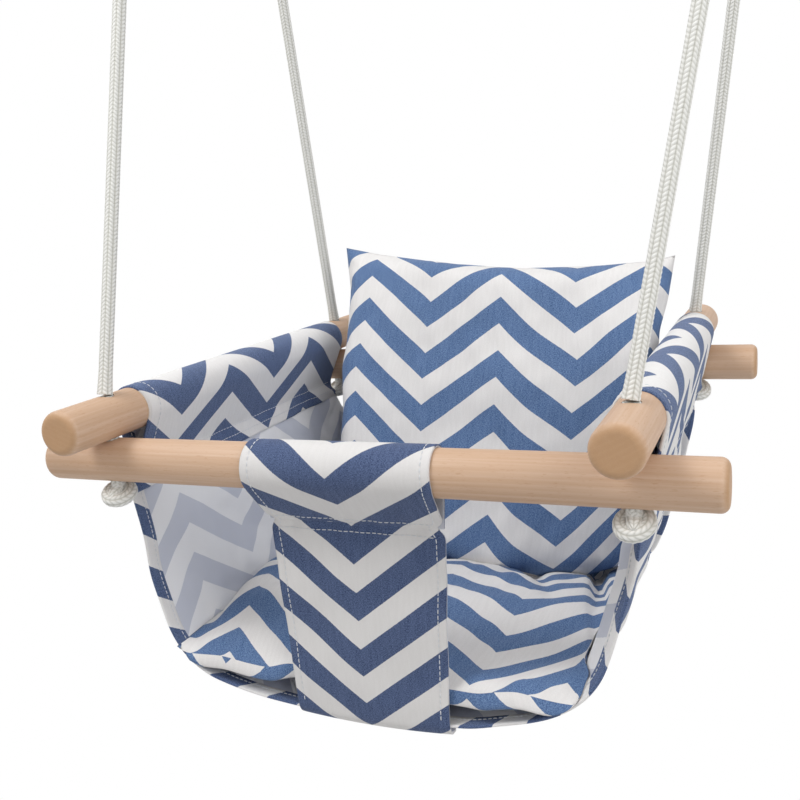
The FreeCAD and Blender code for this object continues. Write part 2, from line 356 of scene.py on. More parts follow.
class Graph:
    """Adds nodes to one node tree and links them; an input may be a socket or a plain value."""

    def __init__(self, tree: Tree) -> None:
        """Starts on a tree."""
        self.tree = tree

    def put(self, sockets: dict | bpy.types.bpy_prop_collection, inputs: dict) -> None:
        """Links or sets input sockets.

        Args:
            sockets: a node's inputs, or the end sockets of a group by name.
            inputs: socket name or number to a socket or a value.
        """
        for key, value in inputs.items():
            if isinstance(value, Socket):
                self.tree.links.new(value, sockets[key])
            else:
                sockets[key].default_value = value

    def node(self, kind: str, inputs: dict | None = None, **settings: object) -> Node:
        """Adds a node.

        Args:
            kind: the node's type name, without its ShaderNode prefix.
            inputs: socket name or number to a socket or a value.
            settings: the node's own properties.

        Returns:
            The node.
        """
        made = self.tree.nodes.new("ShaderNode" + kind)
        for key, value in settings.items():
            setattr(made, key, value)
        self.put(made.inputs, inputs or {})
        return made

    def math(self, operation: str, *values: Value) -> Socket:
        """One function of sockets and numbers."""
        return self.node("Math", dict(enumerate(values)), operation=operation).outputs[0]

    def add(self, first: Value, second: Value) -> Socket:
        """The sum of two."""
        return self.math("ADD", first, second)

    def less(self, first: Value, second: Value) -> Socket:
        """The first, less the second."""
        return self.math("SUBTRACT", first, second)

    def times(self, first: Value, second: Value) -> Socket:
        """The product of two."""
        return self.math("MULTIPLY", first, second)

    def over(self, first: Value, second: Value) -> Socket:
        """The first over the second."""
        return self.math("DIVIDE", first, second)

    def ramp(self, value: Value, low: float, high: float) -> Socket:
        """A smooth rise from 0 at low to 1 at high."""
        return self.node("MapRange", {0: value, 1: low, 2: high}, interpolation_type="SMOOTHSTEP").outputs[0]

    def mix(self, share: Value, first: Value, second: Value) -> Socket:
        """The colour first where share is 0 and second where it is 1."""
        return self.node("Mix", {0: share, 6: first, 7: second}, data_type="RGBA").outputs[2]

    def noise(self, vector: Value, scale: float, detail: float = 2.0, roughness: float = 0.5) -> Socket:
        """A noise value from 0 to 1."""
        return self.node("TexNoise", {"Vector": vector, "Scale": scale, "Detail": detail,
                                      "Roughness": roughness}).outputs[0]

    def stretched(self, vector: Value, x: float, y: float, z: float = 1.0) -> Socket:
        """The vector scaled along its axes."""
        return self.node("Mapping", {"Vector": vector, "Scale": (x, y, z)}).outputs[0]

    def group(self, tree: Tree, inputs: dict) -> Node:
        """Places a node group."""
        return self.node("Group", inputs, node_tree=tree)

    def surface(self, shader: Node, tone: Value, height: Value, strength: float, depth: float) -> None:
        """Gives a shader its colour, and a relief of a depth in metres."""
        bump = self.node("Bump", {"Height": height, "Strength": strength, "Distance": depth})
        self.put(shader.inputs, {"Base Color": tone, "Normal": bump.outputs[0]})

    def seen(self) -> Socket:
        """Tells what is seen from what only lights the swing.

        Returns:
            1 for camera, glossy and transmission rays, and 0 for others.
        """
        path = self.node("LightPath").outputs
        return self.math("MAXIMUM", self.math("MAXIMUM", path["Is Camera Ray"], path["Is Glossy Ray"]),
                         path["Is Transmission Ray"])


def colour(red: int, green: int, blue: int) -> tuple[float, float, float, float]:
    """A screen colour as the linear colour that shows it, by the sRGB curve.

    Args:
        red, green, blue: the screen colour's parts, from 0 to 255.

    Returns:
        The linear colour, opaque.
    """
    shares = [part / 255 for part in (red, green, blue)]
    linear = (share / 12.92 if share <= 0.04045 else ((share + 0.055) / 1.055) ** 2.4 for share in shares)
    return (*linear, 1.0)


def new_group(name: str, inputs: dict[str, str], outputs: dict[str, str]) -> tuple[Graph, dict, dict]:
    """An empty shader node group.

    Args:
        name: the group's name.
        inputs, outputs: socket name to type, as "Float", "Vector" or "Color".

    Returns:
        The group's graph, its input sockets by name, and the end node's inputs by name.
    """
    tree = bpy.data.node_groups.new(name, "ShaderNodeTree")
    for direction, sockets in (("INPUT", inputs), ("OUTPUT", outputs)):
        for label, kind in sockets.items():
            tree.interface.new_socket(label, in_out=direction, socket_type="NodeSocket" + kind)
    start, end = tree.nodes.new("NodeGroupInput"), tree.nodes.new("NodeGroupOutput")
    given = {label: start.outputs[label] for label in inputs}
    result = {label: end.inputs[label] for label in outputs}
    return Graph(tree), given, result


def zigzag_group() -> Tree:
    """The zigzag print: bands stacked across the cloth, bent up and down in a triangle wave.

    The height is h = v + rise * |2 fract(u / period) - 1|, and Print is 1 in a band and 0 between:
    fract(h / pitch) against 1/2, its edge roughened a little where the ink bleeds along the threads.
    Below the height Narrow From, h falls faster by the share Narrow By, and the bands are narrower.

    Returns:
        The group.
    """
    graph, given, result = new_group(
        "zigzag_print", {"Cloth": "Vector", "Period": "Float", "Rise": "Float", "Pitch": "Float",
                         "Shift Along": "Float", "Shift Across": "Float", "Turn": "Float",
                         "Narrow From": "Float", "Narrow By": "Float"}, {"Print": "Float"})
    ink_scale, ink_bleed = 900.0, 0.0006
    edge = (0.244, 0.256)
    turned = graph.node("VectorRotate", {"Vector": given["Cloth"], "Angle": given["Turn"]},
                        rotation_type="Z_AXIS")
    axes = graph.node("SeparateXYZ", {0: turned.outputs[0]}).outputs
    bleed = graph.times(graph.less(graph.noise(given["Cloth"], ink_scale, 1.0), 0.5), ink_bleed)
    waves = graph.math("FRACT", graph.add(graph.over(axes[0], given["Period"]), given["Shift Along"]))
    tent = graph.math("ABSOLUTE", graph.less(graph.times(waves, 2.0), 1.0))
    height = graph.add(graph.add(axes[1], bleed), graph.times(tent, given["Rise"]))
    below = graph.math("MINIMUM", graph.less(height, given["Narrow From"]), 0.0)
    height = graph.add(height, graph.times(below, given["Narrow By"]))
    band = graph.math("FRACT", graph.add(graph.over(height, given["Pitch"]), given["Shift Across"]))
    from_middle = graph.math("ABSOLUTE", graph.less(band, 0.5))
    graph.put(result, {"Print": graph.ramp(from_middle, *edge)})
    return graph.tree


def canvas_group() -> Tree:
    """Plain woven canvas: its thread relief, and the light and dark flecks of uneven yarn.

    The relief is |sin(pi u)| or |sin(pi v)| by the parity of the thread crossing, with the yarn's noise.

    Returns:
        The group.
    """
    graph, given, result = new_group("canvas_weave", {"Cloth": "Vector", "Thread": "Float"},
                                     {"Height": "Float", "Fleck": "Float", "Slub": "Float"})
    yarn_scale, slub_scale, roughness = 2300.0, 420.0, 0.6
    cloth = given["Cloth"]
    scaled = graph.node("VectorMath", {0: cloth, 3: graph.over(1.0, given["Thread"])},
                        operation="SCALE").outputs[0]
    axes = graph.node("SeparateXYZ", {0: scaled}).outputs
    rounds = [graph.math("ABSOLUTE", graph.math("SINE", graph.times(axis, math.pi))) for axis in axes[:2]]
    parity = graph.add(graph.math("FLOOR", axes[0]), graph.math("FLOOR", axes[1]))
    over = graph.math("MODULO", graph.math("ABSOLUTE", parity), 2.0)
    weave = graph.add(graph.times(rounds[0], over), graph.times(rounds[1], graph.less(1.0, over)))
    warp = graph.noise(graph.stretched(cloth, 1.0, 0.4), yarn_scale, 2.0, roughness)
    weft = graph.noise(graph.stretched(cloth, 0.4, 1.0), yarn_scale, 2.0, roughness)
    slub = graph.noise(graph.stretched(cloth, 1.0, 0.12), slub_scale, 2.0, roughness)
    yarn = graph.times(graph.add(warp, weft), 0.5)
    graph.put(result, {"Height": graph.add(graph.times(weave, 0.7), yarn),
                       "Fleck": graph.ramp(yarn, 0.38, 0.62), "Slub": graph.ramp(slub, 0.35, 0.65)})
    return graph.tree


def grain_group() -> Tree:
    """Beech along x: growth rings about a far pith, short dark rays, and soft streaks of colour.

    The rings are |sin(pi r / ring)|, where r is the distance from the pith and a slow warp is added to it.

    Returns:
        The group.
    """
    graph, given, result = new_group("beech_grain", {"Vector": "Vector", "Seed": "Float"}, {
        "Rings": "Float", "Rays": "Float", "Streaks": "Float", "Height": "Float"})
    ring, pith, seed_step, sway = 0.0034, (0.031, 0.012), 1.7, 0.006
    shift = graph.node("CombineXYZ", {0: graph.times(given["Seed"], seed_step), 1: pith[0], 2: pith[1]})
    moved = graph.node("VectorMath", {0: given["Vector"], 1: shift.outputs[0]}, operation="ADD").outputs[0]
    warp = graph.noise(graph.stretched(moved, 3.0, 20.0, 20.0), 1.0, 2.0)
    axes = graph.node("SeparateXYZ", {0: moved}).outputs
    distance = graph.math("SQRT", graph.add(graph.times(axes[1], axes[1]), graph.times(axes[2], axes[2])))
    far = graph.add(distance, graph.times(warp, sway))
    rings = graph.math("ABSOLUTE", graph.math("SINE", graph.times(far, math.pi / ring)))
    streaks = graph.noise(graph.stretched(moved, 6.0, 300.0, 300.0), 1.0, 4.0, 0.65)
    rays = graph.noise(graph.stretched(moved, 210.0, 1500.0, 1500.0), 1.0, 1.0)
    graph.put(result, {"Rings": graph.ramp(rings, 0.0, 1.0), "Rays": graph.ramp(rays, 0.62, 0.74),
                       "Streaks": graph.ramp(streaks, 0.25, 0.75),
                       "Height": graph.add(streaks, graph.times(rays, -0.5))})
    return graph.tree


class Groups:
    """The node groups that several finishes share, each built once."""

    zigzag = zigzag_group()
    canvas = canvas_group()
    grain = grain_group()


def new_material(name: str, roughness: float, **constants: float) -> tuple[Material, Graph, Node]:
    """A material with a Principled shader.

    Args:
        name: the material's name.
        roughness: the shader's roughness.
        constants: other shader sockets by name, with an underscore for each space.

    Returns:
        The material, its graph and its shader node.
    """
    material = bpy.data.materials.new(name)
    material.use_nodes = True
    graph = Graph(material.node_tree)
    shader = material.node_tree.nodes["Principled BSDF"]
    shader.inputs["Roughness"].default_value = roughness
    for key, value in constants.items():
        shader.inputs[key.replace("_", " ")].default_value = value
    return material, graph, shader


# ---------------- finishes

@dataclass(frozen=True)
class ZigzagCanvas:
    """Cotton canvas printed with a zigzag, paler behind, where the print only shows through."""

    name: str
    period: float
    rise: float
    pitch: float
    shift_along: float
    shift_across: float
    turn: float = 0.0
    narrow_from: float = -10.0
    narrow_by: float = 0.0
    blue: tuple = colour(61, 78, 115)
    blue_light: tuple = colour(112, 130, 166)
    blue_dark: tuple = colour(38, 53, 89)
    white: tuple = colour(231, 229, 228)
    white_dark: tuple = colour(206, 203, 201)
    reverse_white: tuple = colour(231, 231, 233)
    reverse_grey: tuple = colour(199, 202, 212)
    thread: float = 0.0006
    see_through: float = 0.0

    def material(self) -> Material:
        """Builds the material on the piece's own cloth coordinates.

        Returns:
            The material, which shows the print where the attribute "reverse" is 0.
        """
        material, graph, shader = new_material(self.name, 0.82, Sheen_Weight=0.08, Sheen_Roughness=0.5,
                                               Specular_IOR_Level=0.22, Subsurface_Weight=self.see_through,
                                               Subsurface_Scale=0.0015)
        shader.inputs["Subsurface Radius"].default_value = (1.0, 1.0, 1.0)
        cloth = graph.node("UVMap", uv_map="cloth").outputs[0]
        printed = graph.group(Groups.zigzag, {
            "Cloth": cloth, "Period": self.period, "Rise": self.rise, "Pitch": self.pitch,
            "Shift Along": self.shift_along, "Shift Across": self.shift_across,
            "Turn": math.radians(self.turn), "Narrow From": self.narrow_from, "Narrow By": self.narrow_by})
        weave = graph.group(Groups.canvas, {"Cloth": cloth, "Thread": self.thread})
        fleck, slub = weave.outputs["Fleck"], weave.outputs["Slub"]
        blue = graph.mix(fleck, self.blue_dark, self.blue_light)
        blue = graph.mix(0.75, self.blue, blue)
        blue = graph.mix(graph.times(slub, 0.2), blue, self.blue_light)
        white = graph.mix(graph.times(fleck, 0.25), self.white, self.white_dark)
        white = graph.mix(graph.times(slub, 0.16), white, self.white_dark)
        front = graph.mix(printed.outputs["Print"], white, blue)
        behind = graph.mix(printed.outputs["Print"], self.reverse_white, self.reverse_grey)
        behind = graph.mix(graph.times(fleck, 0.1), behind, self.white_dark)
        reverse = graph.node("Attribute", attribute_name="reverse").outputs["Fac"]
        shown = graph.mix(graph.math("GREATER_THAN", reverse, 0.5), front, behind)
        graph.surface(shader, shown, weave.outputs["Height"], 0.35, 0.0003)
        return material


@dataclass(frozen=True)
class Beech:
    """Sanded beech, darker on the end grain; across is True where the rail and its grain lie along x."""

    name: str
    across: bool
    seed: float
    pale: tuple = colour(207, 178, 154)
    warm: tuple = colour(195, 161, 132)
    ring: tuple = colour(182, 141, 107)
    end: tuple = colour(184, 146, 108)
    end_dark: tuple = colour(166, 126, 90)

    def material(self) -> Material:
        """Builds the material on object coordinates, turned so that the grain runs along x.

        Returns:
            The material.
        """
        material, graph, shader = new_material(self.name, 0.52, Specular_IOR_Level=0.4)
        place = graph.node("TexCoord").outputs["Object"]
        turn = 0.0 if self.across else math.pi / 2
        place = graph.node("Mapping", {"Vector": place, "Rotation": (0.0, 0.0, turn)}).outputs[0]
        grain = graph.group(Groups.grain, {"Vector": place, "Seed": self.seed})
        wood = graph.mix(grain.outputs["Streaks"], self.warm, self.pale)
        wood = graph.mix(graph.times(grain.outputs["Rings"], 0.16), wood, self.ring)
        wood = graph.mix(graph.times(grain.outputs["Rays"], 0.45), wood, self.ring)
        end_on = graph.math("ABSOLUTE", graph.node("SeparateXYZ", {0: place}).outputs[0])
        half = LAYOUT.rail_half_length * MM
        end_grain = graph.ramp(end_on, half - 0.0034, half - 0.0004)
        pores = graph.noise(place, 2600.0, 2.0, 0.7)
        end_rings = graph.mix(graph.times(grain.outputs["Rings"], 0.1), self.end, self.end_dark)
        end_rings = graph.mix(graph.times(graph.ramp(pores, 0.42, 0.62), 0.32), end_rings, self.end_dark)
        wood = graph.mix(graph.times(end_grain, 0.85), wood, end_rings)
        graph.surface(shader, wood, grain.outputs["Height"], 0.12, 0.0004)
        return material


@dataclass(frozen=True)
class BraidedCotton:
    """White braided rope: pale strands, with painted shade in the grooves between them."""

    name: str = "rope_braid"
    strand: tuple = colour(243, 243, 240)
    # painted shade: the colour that the bottom of a groove is darkened to
    groove: tuple = colour(163, 161, 148)

    def material(self) -> Material:
        """Builds the material.

        Returns:
            The material, with painted shade where the attribute "groove" is 1, at the bottom of a groove.
        """
        material, graph, shader = new_material(self.name, 0.6, Sheen_Weight=0.2, Specular_IOR_Level=0.35)
        groove = graph.node("Attribute", attribute_name="groove").outputs["Fac"]
        place = graph.node("TexCoord").outputs["Object"]
        fibres = graph.noise(place, 2600.0, 2.0, 0.7)
        # painted shade: the strands darken towards the groove colour as a groove deepens
        tone = graph.mix(graph.times(groove, 0.72), self.strand, self.groove)
        tone = graph.mix(graph.times(fibres, 0.16), tone, self.groove)
        graph.surface(shader, tone, fibres, 0.25, 0.0002)
        return material


@dataclass(frozen=True)
class SewingThread:
    """Twisted sewing thread of one colour."""

    name: str
    tone: tuple

    def material(self) -> Material:
        """Builds the material, with a fine twist across the thread.

        Returns:
            The material.
        """
        material, graph, shader = new_material(self.name, 0.55, Sheen_Weight=0.1)
        place = graph.node("TexCoord").outputs["Object"]
        twist = graph.noise(place, 3000.0, 1.0)
        darker = tuple(0.72 * part for part in self.tone[:3]) + (1.0,)
        graph.put(shader.inputs, {"Base Color": graph.mix(twist, darker, self.tone)})
        return material


def dress(piece: Piece, material: Material, body: Body) -> Piece:
    """Gives a finished piece its material and the body that it rides on.

    Args:
        piece: the piece, which has no material yet.
        material: its finish.
        body: the moving body.

    Returns:
        The same piece.
    """
    piece.data.materials.clear()
    piece.data.materials.append(material)
    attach(piece, body.value)
    LOG.info("%s: %d faces", piece.name, len(piece.data.polygons))
    return piece


# ---------------- rope

def cap_quads(ring: Array) -> Array:
    """Quads that close a ring, strip by strip.

    Args:
        ring: an even number of vertex indices, in order round it.

    Returns:
        An (n, 4) array of vertex indices.
    """
    count = len(ring)
    k = np.arange(count // 2 - 1)
    return np.stack([ring[k], ring[k + 1], ring[count - 2 - k], ring[count - 1 - k]], 1)


def nurbs_line(points: list) -> Array:
    """The smooth NURBS line of a few control points.

    Args:
        points: the control points, in millimetres.

    Returns:
        (n, 3) points in millimetres.
    """
    curve = bpy.data.curves.new("route", "CURVE")
    curve.dimensions = "3D"
    curve.resolution_u = 24
    spline = curve.splines.new("NURBS")
    spline.points.add(len(points) - 1)
    spline.points.foreach_set("co", [part for point in points for part in (*LAYOUT.metres(point), 1.0)])
    spline.order_u = 3
    spline.use_endpoint_u = True
    holder = bpy.data.objects.new("route", curve)
    mesh = bpy.data.meshes.new_from_object(holder)
    line = np.empty(3 * len(mesh.vertices), np.float32)
    mesh.vertices.foreach_get("co", line)
    bpy.data.meshes.remove(mesh)
    bpy.data.objects.remove(holder)
    bpy.data.curves.remove(curve)
    return LAYOUT.millimetres(line.reshape(-1, 3))


@dataclass(frozen=True)
class Braid:
    """Eight columns of stitches round a rope, leaning left and right in turn, so that they make Vs.

    At angle a and length s the column is c = columns * a / 2 pi, f its fraction, and the stitch
    p = fract(s / stitch + lean * (f - 1/2)), where lean is +slant or -slant by the column's parity.
    The rope's radius falls by depth * (1 - sin(pi f)^column_round * sin(pi p)^stitch_round).
    """

    columns: int = 8
    stitch: float = 2.7
    slant: float = 1.0
    depth: float = 0.6
    column_round: float = 0.42
    stitch_round: float = 0.5
    ring_step: float = 0.34
    around: int = 48

    def tube(self, name: str, line: Array, radius: tuple | float, reference: tuple,
             closed: bool = False) -> Piece:
        """A braided tube along a line.

        Args:
            name: the piece's name.
            line: (n, 3) points in millimetres.
            radius: the rope's radius, or several values spaced evenly from end to end.
            reference: a direction that is never along the line, from which the columns are counted.
            closed: whether the line's end meets its start.

        Returns:
            The rope, with the attribute "groove", which the rope's finish uses for painted shade.
        """
        length = along(line)[-1]
        count = max(8, round(length / self.ring_step))
        centre = resampled(line, count + 1 if closed else count)
        s = np.linspace(0, length, len(centre))[:, None]
        if closed:
            centre, s = centre[:-1], s[:-1]
            tangent = unit(np.roll(centre, -1, 0) - np.roll(centre, 1, 0))
            stitch = length / round(length / self.stitch)
        else:
            tangent = unit(np.gradient(centre, axis=0))
            stitch = self.stitch
        across = unit(np.cross(tangent, np.array(reference, float)))
        other = np.cross(tangent, across)
        angle = np.linspace(0, 2 * math.pi, self.around, endpoint=False)[None, :]
        column = self.columns * angle / (2 * math.pi) + 1e-6
        part = column - np.floor(column)
        lean = np.where(np.floor(column) % 2 == 0, self.slant, -self.slant)
        phase = (s / stitch + lean * (part - 0.5)) % 1.0
        raised = (np.sin(math.pi * part) ** self.column_round
                  * np.sin(math.pi * phase) ** self.stitch_round)
        radii = np.broadcast_to(radius, max(2, np.size(radius)))
        full = np.interp(s, np.linspace(0, length, len(radii)), radii)
        reach = (full - self.depth * (1 - raised))[..., None]
        points = centre[:, None] + reach * (np.cos(angle)[..., None] * across[:, None]
                                            + np.sin(angle)[..., None] * other[:, None])
        rows = len(centre)
        quads = grid_quads(rows, self.around, closed, True)
        if not closed:
            first = np.arange(self.around)
            last = first + (rows - 1) * self.around
            quads = np.concatenate([quads, cap_quads(first), cap_quads(last[::-1])])
        # how deep in a groove each vertex lies, 1 at its bottom; the rope's finish paints shade with it
        groove = 1 - np.broadcast_to(raised, (rows, self.around)).ravel()
        return make_piece(name, points.reshape(-1, 3), quads, None, {"groove": groove})


@dataclass
class RopeSet:
    """The four ropes: each a taut leg, the core in the rails, the stopper knot and the hanging eye.

    Several radii in one tuple are spaced evenly from end to end. The tail's points are (outwards, y, z)
    from the hole's foot, and the eye's foot is its half width and its height above the leg's top.
    """

    radius: float = 4.75
    in_hole_radius: float = 5.3
    counted_from: tuple[float, float, float] = (0.3, -1.0, 0.0)
    leg_radii: tuple[float, ...] = (5.35, 4.95) + (4.75,) * 38
    leg_top_z: float = 352.0
    leg_ends_z: Pair = (45.5, 357.0)
    core_below_rail: float = 4.0
    core_below_mouth: float = 0.9
    knot_ring_radius: float = 7.7
    knot_rope_radius: float = 4.9
    knot_drop: float = 9.2
    knot_tilt: float = 29.0
    knot_tilt_by_side: float = 4.0
    knot_turn: float = 18.0
    tail: tuple = ((0.0, 0.5, -0.5), (0.0, 0.2, -6.5), (0.5, -4.0, -8.6), (1.0, -10.0, -9.2))
    tail_radii: tuple[float, ...] = (4.9, 4.9, 4.9, 4.9, 4.9, 4.8, 4.3, 3.1, 1.2)
    eye_centre_z: float = 391.0
    eye_opening: float = 15.0
    eye_spread: float = 38.0
    eye_foot: Pair = (3.0, 12.0)
    wrap_radius: float = 7.6
    wrap_rope_radius: float = 4.2
    wrap_turns: float = 2.6
    wrap_rise: Pair = (8.2, 20.0)
    braid: Braid = field(default_factory=Braid)
    finish: BraidedCotton = field(default_factory=BraidedCotton)

    def routes(self) -> dict[Corner, list]:
        """The legs' routes, from above the side rails to below the eyes.

        Returns:
            Each leg's points.
        """
        return {
            Corner.FRONT_LEFT: [(-175.0, -175.0, 48.0), (-172.5, -136.63, 200.0), (-170.0, -98.26, 352.0)],
            Corner.FRONT_RIGHT: [(175.0, -175.0, 48.0), (199.75, -136.63, 200.0), (224.5, -98.26, 352.0)],
            Corner.BACK_LEFT: [(-175.0, 175.0, 48.0), (-173.25, 148.65, 200.0), (-171.5, 122.3, 352.0)],
            Corner.BACK_RIGHT: [(175.0, 175.0, 48.0), (196.75, 148.65, 200.0), (218.5, 122.3, 352.0)],
        }

    def hole(self, corner: Corner) -> Pair:
        """The x and y of the corner's hole through the rails."""
        side, end = corner.value
        return side * LAYOUT.half_spacing, end * LAYOUT.half_spacing

    def build(self) -> None:
        """Builds the rope pieces, six at each corner."""
        material = self.finish.material()
        for corner, route in self.routes().items():
            self.eye(corner, route, material)
            self.leg(corner, route, material)
            self.core(corner, material)
            self.knot(corner, material)

    def leg(self, corner: Corner, route: list, material: Material) -> None:
        """The taut leg, which runs a little into the hole below it and the eye's knot above.

        Args:
            corner: where it is.
            route: its points.
            material: the rope's finish.
        """
        line = nurbs_line(route)
        slope = (line[-1] - line[0]) / (line[-1, 2] - line[0, 2])
        ends = [line[0] + slope * (z - line[0, 2]) for z in self.leg_ends_z]
        whole = np.concatenate([ends[:1], line, ends[1:]])
        piece = self.braid.tube(corner.label + "_rope_leg", whole, self.leg_radii, self.counted_from)
        body = Body.FRONT_ROPES if corner.value[1] < 0 else Body.BACK_ROPES
        dress(piece, material, body)
        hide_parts(corner.label + "_rope")
        tuple(LAYOUT.metres(route[0]))
        LAYOUT.metres(whole).tolist()
        corner.label + "_eye_loop"
        corner.label + "_eye_wraps"

    def core(self, corner: Corner, material: Material) -> None:
        """The stretch inside the rails, which swells to fill the hole and its mouth.

        Args:
            corner: where it is.
            material: the rope's finish.
        """
        x, y = self.hole(corner)
        low = -LAYOUT.rail_radius - self.core_below_rail
        high = LAYOUT.side_rail_z + LAYOUT.rail_radius - self.core_below_mouth
        line = np.array([(x, y, low), (x, y, high)])
        piece = self.braid.tube(corner.label + "_rope_in_hole", line, (self.radius, self.in_hole_radius),
                                self.counted_from)
        dress(piece, material, Body.SEAT)
        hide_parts(corner.label + "_rope_core")

    def knot(self, corner: Corner, material: Material) -> None:
        """The stopper knot: a tilted ring of rope drawn up under the rail, and the tail that comes out of it.

        The ring is r (cos t, sin t cos tilt, sin t sin tilt), turned a little about the hole's axis.

        Args:
            corner: where it is.
            material: the rope's finish.
        """
        side, end = corner.value
        x, y = self.hole(corner)
        low = -LAYOUT.rail_radius
        angle = np.linspace(0, 2 * math.pi, 97)
        tilt = math.radians(self.knot_tilt + self.knot_tilt_by_side * side)
        ring = self.knot_ring_radius * np.stack([
            np.cos(angle), np.sin(angle) * math.cos(tilt), np.sin(angle) * math.sin(tilt)], 1)
        turn = math.radians(self.knot_turn * side * end)
        spun = np.stack([ring[:, 0] * math.cos(turn) - ring[:, 1] * math.sin(turn),
                         ring[:, 0] * math.sin(turn) + ring[:, 1] * math.cos(turn), ring[:, 2]], 1)
        piece = self.braid.tube(corner.label + "_knot_turn", spun + (x, y, low - self.knot_drop),
                                self.knot_rope_radius, (0.0, -math.sin(tilt), math.cos(tilt)), closed=True)
        dress(piece, material, Body.SEAT)
        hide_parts(corner.label + "_knot")
        tail = nurbs_line([(x + side * out, y + forward, low + up) for out, forward, up in self.tail])
        stub = self.braid.tube(corner.label + "_knot_tail", tail, self.tail_radii, (1.0, 0.0, 0.0))
        dress(stub, material, Body.SEAT)

    def eye(self, corner: Corner, route: list, material: Material) -> None:
        """The hanging eye: a loop that a hook takes, and the wraps that close it round the leg.

        The loop is an open circle whose two ends run down to the foot, and the wraps are a helix.

        Args:
            corner: where it is.
            route: the leg's points.
            material: the rope's finish.
        """
        top_x, top_y = route[-1][:2]
        inner = self.radius + self.eye_opening
        spread = math.radians(self.eye_spread)
        angle = np.linspace(-math.pi / 2 + spread, 1.5 * math.pi - spread, 73)
        arc = np.stack([inner * np.cos(angle), np.zeros(len(angle)), inner * np.sin(angle)], 1)
        arc += (top_x, top_y, self.eye_centre_z)
        half, rise = self.eye_foot
        foot = [(top_x + half, top_y, self.leg_top_z + rise), (top_x - half, top_y, self.leg_top_z + rise)]
        line = smooth_rows(resampled(np.concatenate([foot[:1], arc, foot[1:]]), 180), 6)
        loop = self.braid.tube(corner.label + "_eye_loop", line, self.radius, (0.0, 1.0, 0.0))
        dress(loop, material, Body.EYES)
        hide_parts(corner.label + "_eye")
        turns = np.linspace(0, 2 * math.pi * self.wrap_turns, 160)
        low, high = (self.leg_top_z + rise for rise in self.wrap_rise)
        coil = np.stack([self.wrap_radius * np.cos(turns), self.wrap_radius * np.sin(turns),
                         np.linspace(low, high, len(turns))], 1) + (top_x, top_y, 0.0)
        wraps = self.braid.tube(corner.label + "_eye_wraps", coil, self.wrap_rope_radius, (0.0, 0.0, 1.0))
        dress(wraps, material, Body.EYES)


# ---------------- wood

@dataclass
class Rails:
    """The four rails, which keep the frame's own meshes; each is cut from its own place in the wood."""

    first_seed: float = 0.4
    seed_step: float = 0.61

    def dress(self) -> None:
        """Gives each rail beech of its own grain."""
        for number, (node, across) in enumerate((("front_rail", True), ("back_rail", True),
                                                 ("left_rail", False), ("right_rail", False))):
            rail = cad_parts[node]
            seed = self.first_seed + self.seed_step * number
            rail.data.materials.clear()
            rail.data.materials.append(Beech(node + "_beech", across, seed).material())
            LOG.info("%s: beech", node)


# ---------------- thread

@dataclass(frozen=True)
class Stitching:
    """Lockstitch: short capsules of thread, one after another, half sunk in the cloth."""

    length: float = 2.7
    gap: float = 0.9
    radius: float = 0.38
    lift: float = 0.12
    marks: tuple[float, ...] = (0.0, 0.12, 0.5, 0.88, 1.0)
    girths: tuple[float, ...] = (0.25, 0.85, 1.0, 0.85, 0.25)
    rises: tuple[float, ...] = (-0.5, 0.0, 0.25, 0.0, -0.5)
    sides: int = 6

    def rows(self, name: str, paths: list[tuple[Array, Array]], material: Material) -> Piece:
        """One piece that holds rows of stitches.

        Args:
            name: the piece's name.
            paths: for each row, its (n, 3) points on the cloth and the cloth's normals there.
            material: the thread.

        Returns:
            The stitches, dressed as the seat's canvas is.
        """
        made = [self.row(path, normals) for path, normals in paths]
        each = [len(points) for points, _ in made]
        starts = np.concatenate([[0], np.cumsum(each)[:-1]])
        points = np.concatenate([points for points, _ in made])
        quads = np.concatenate([quads + start for (_, quads), start in zip(made, starts)])
        return dress(make_piece(name, points, quads), material, Body.SEAT)

    def row(self, path: Array, normals: Array) -> tuple[Array, Array]:
        """One row of stitches: at each mark along a stitch a ring, of the radius times its girth.

        Args:
            path: (n, 3) points on the cloth.
            normals: the cloth's normals there.

        Returns:
            The vertices and the quads.
        """
        distance = along(path)
        count = max(1, int(distance[-1] / (self.length + self.gap)))
        starts = np.arange(count) * distance[-1] / count
        at = starts[:, None] + np.array(self.marks) * self.length
        centre = np.stack([np.interp(at, distance, path[:, k]) for k in range(3)], -1)
        up = unit(np.stack([np.interp(at, distance, normals[:, k]) for k in range(3)], -1))
        ahead = unit(centre[:, -1] - centre[:, 0])[:, None]
        side = unit(np.cross(ahead, up))
        centre = centre + up * (self.lift + np.array(self.rises) * self.radius)[None, :, None]
        angle = np.linspace(0, 2 * math.pi, self.sides, endpoint=False)
        ring = (np.cos(angle)[:, None] * side[:, :, None] + np.sin(angle)[:, None] * up[:, :, None])
        points = centre[:, :, None] + self.radius * np.array(self.girths)[None, :, None, None] * ring
        rings, first = len(self.marks), np.arange(self.sides)
        last = first + (rings - 1) * self.sides
        block = np.concatenate([grid_quads(rings, self.sides, False, True), cap_quads(first),
                                cap_quads(last[::-1])])
        quads = block[None] + (np.arange(count) * rings * self.sides)[:, None, None]
        return points.reshape(-1, 3), quads.reshape(-1, 4)


def row_on(face: Array, rows: Array, columns: Array) -> tuple[Array, Array]:
    """A row of stitching on a grid of points: its path and the normals there."""
    return on_face(face, rows, columns), on_face(surface_normals(face), rows, columns)


# ---------------- folded edges

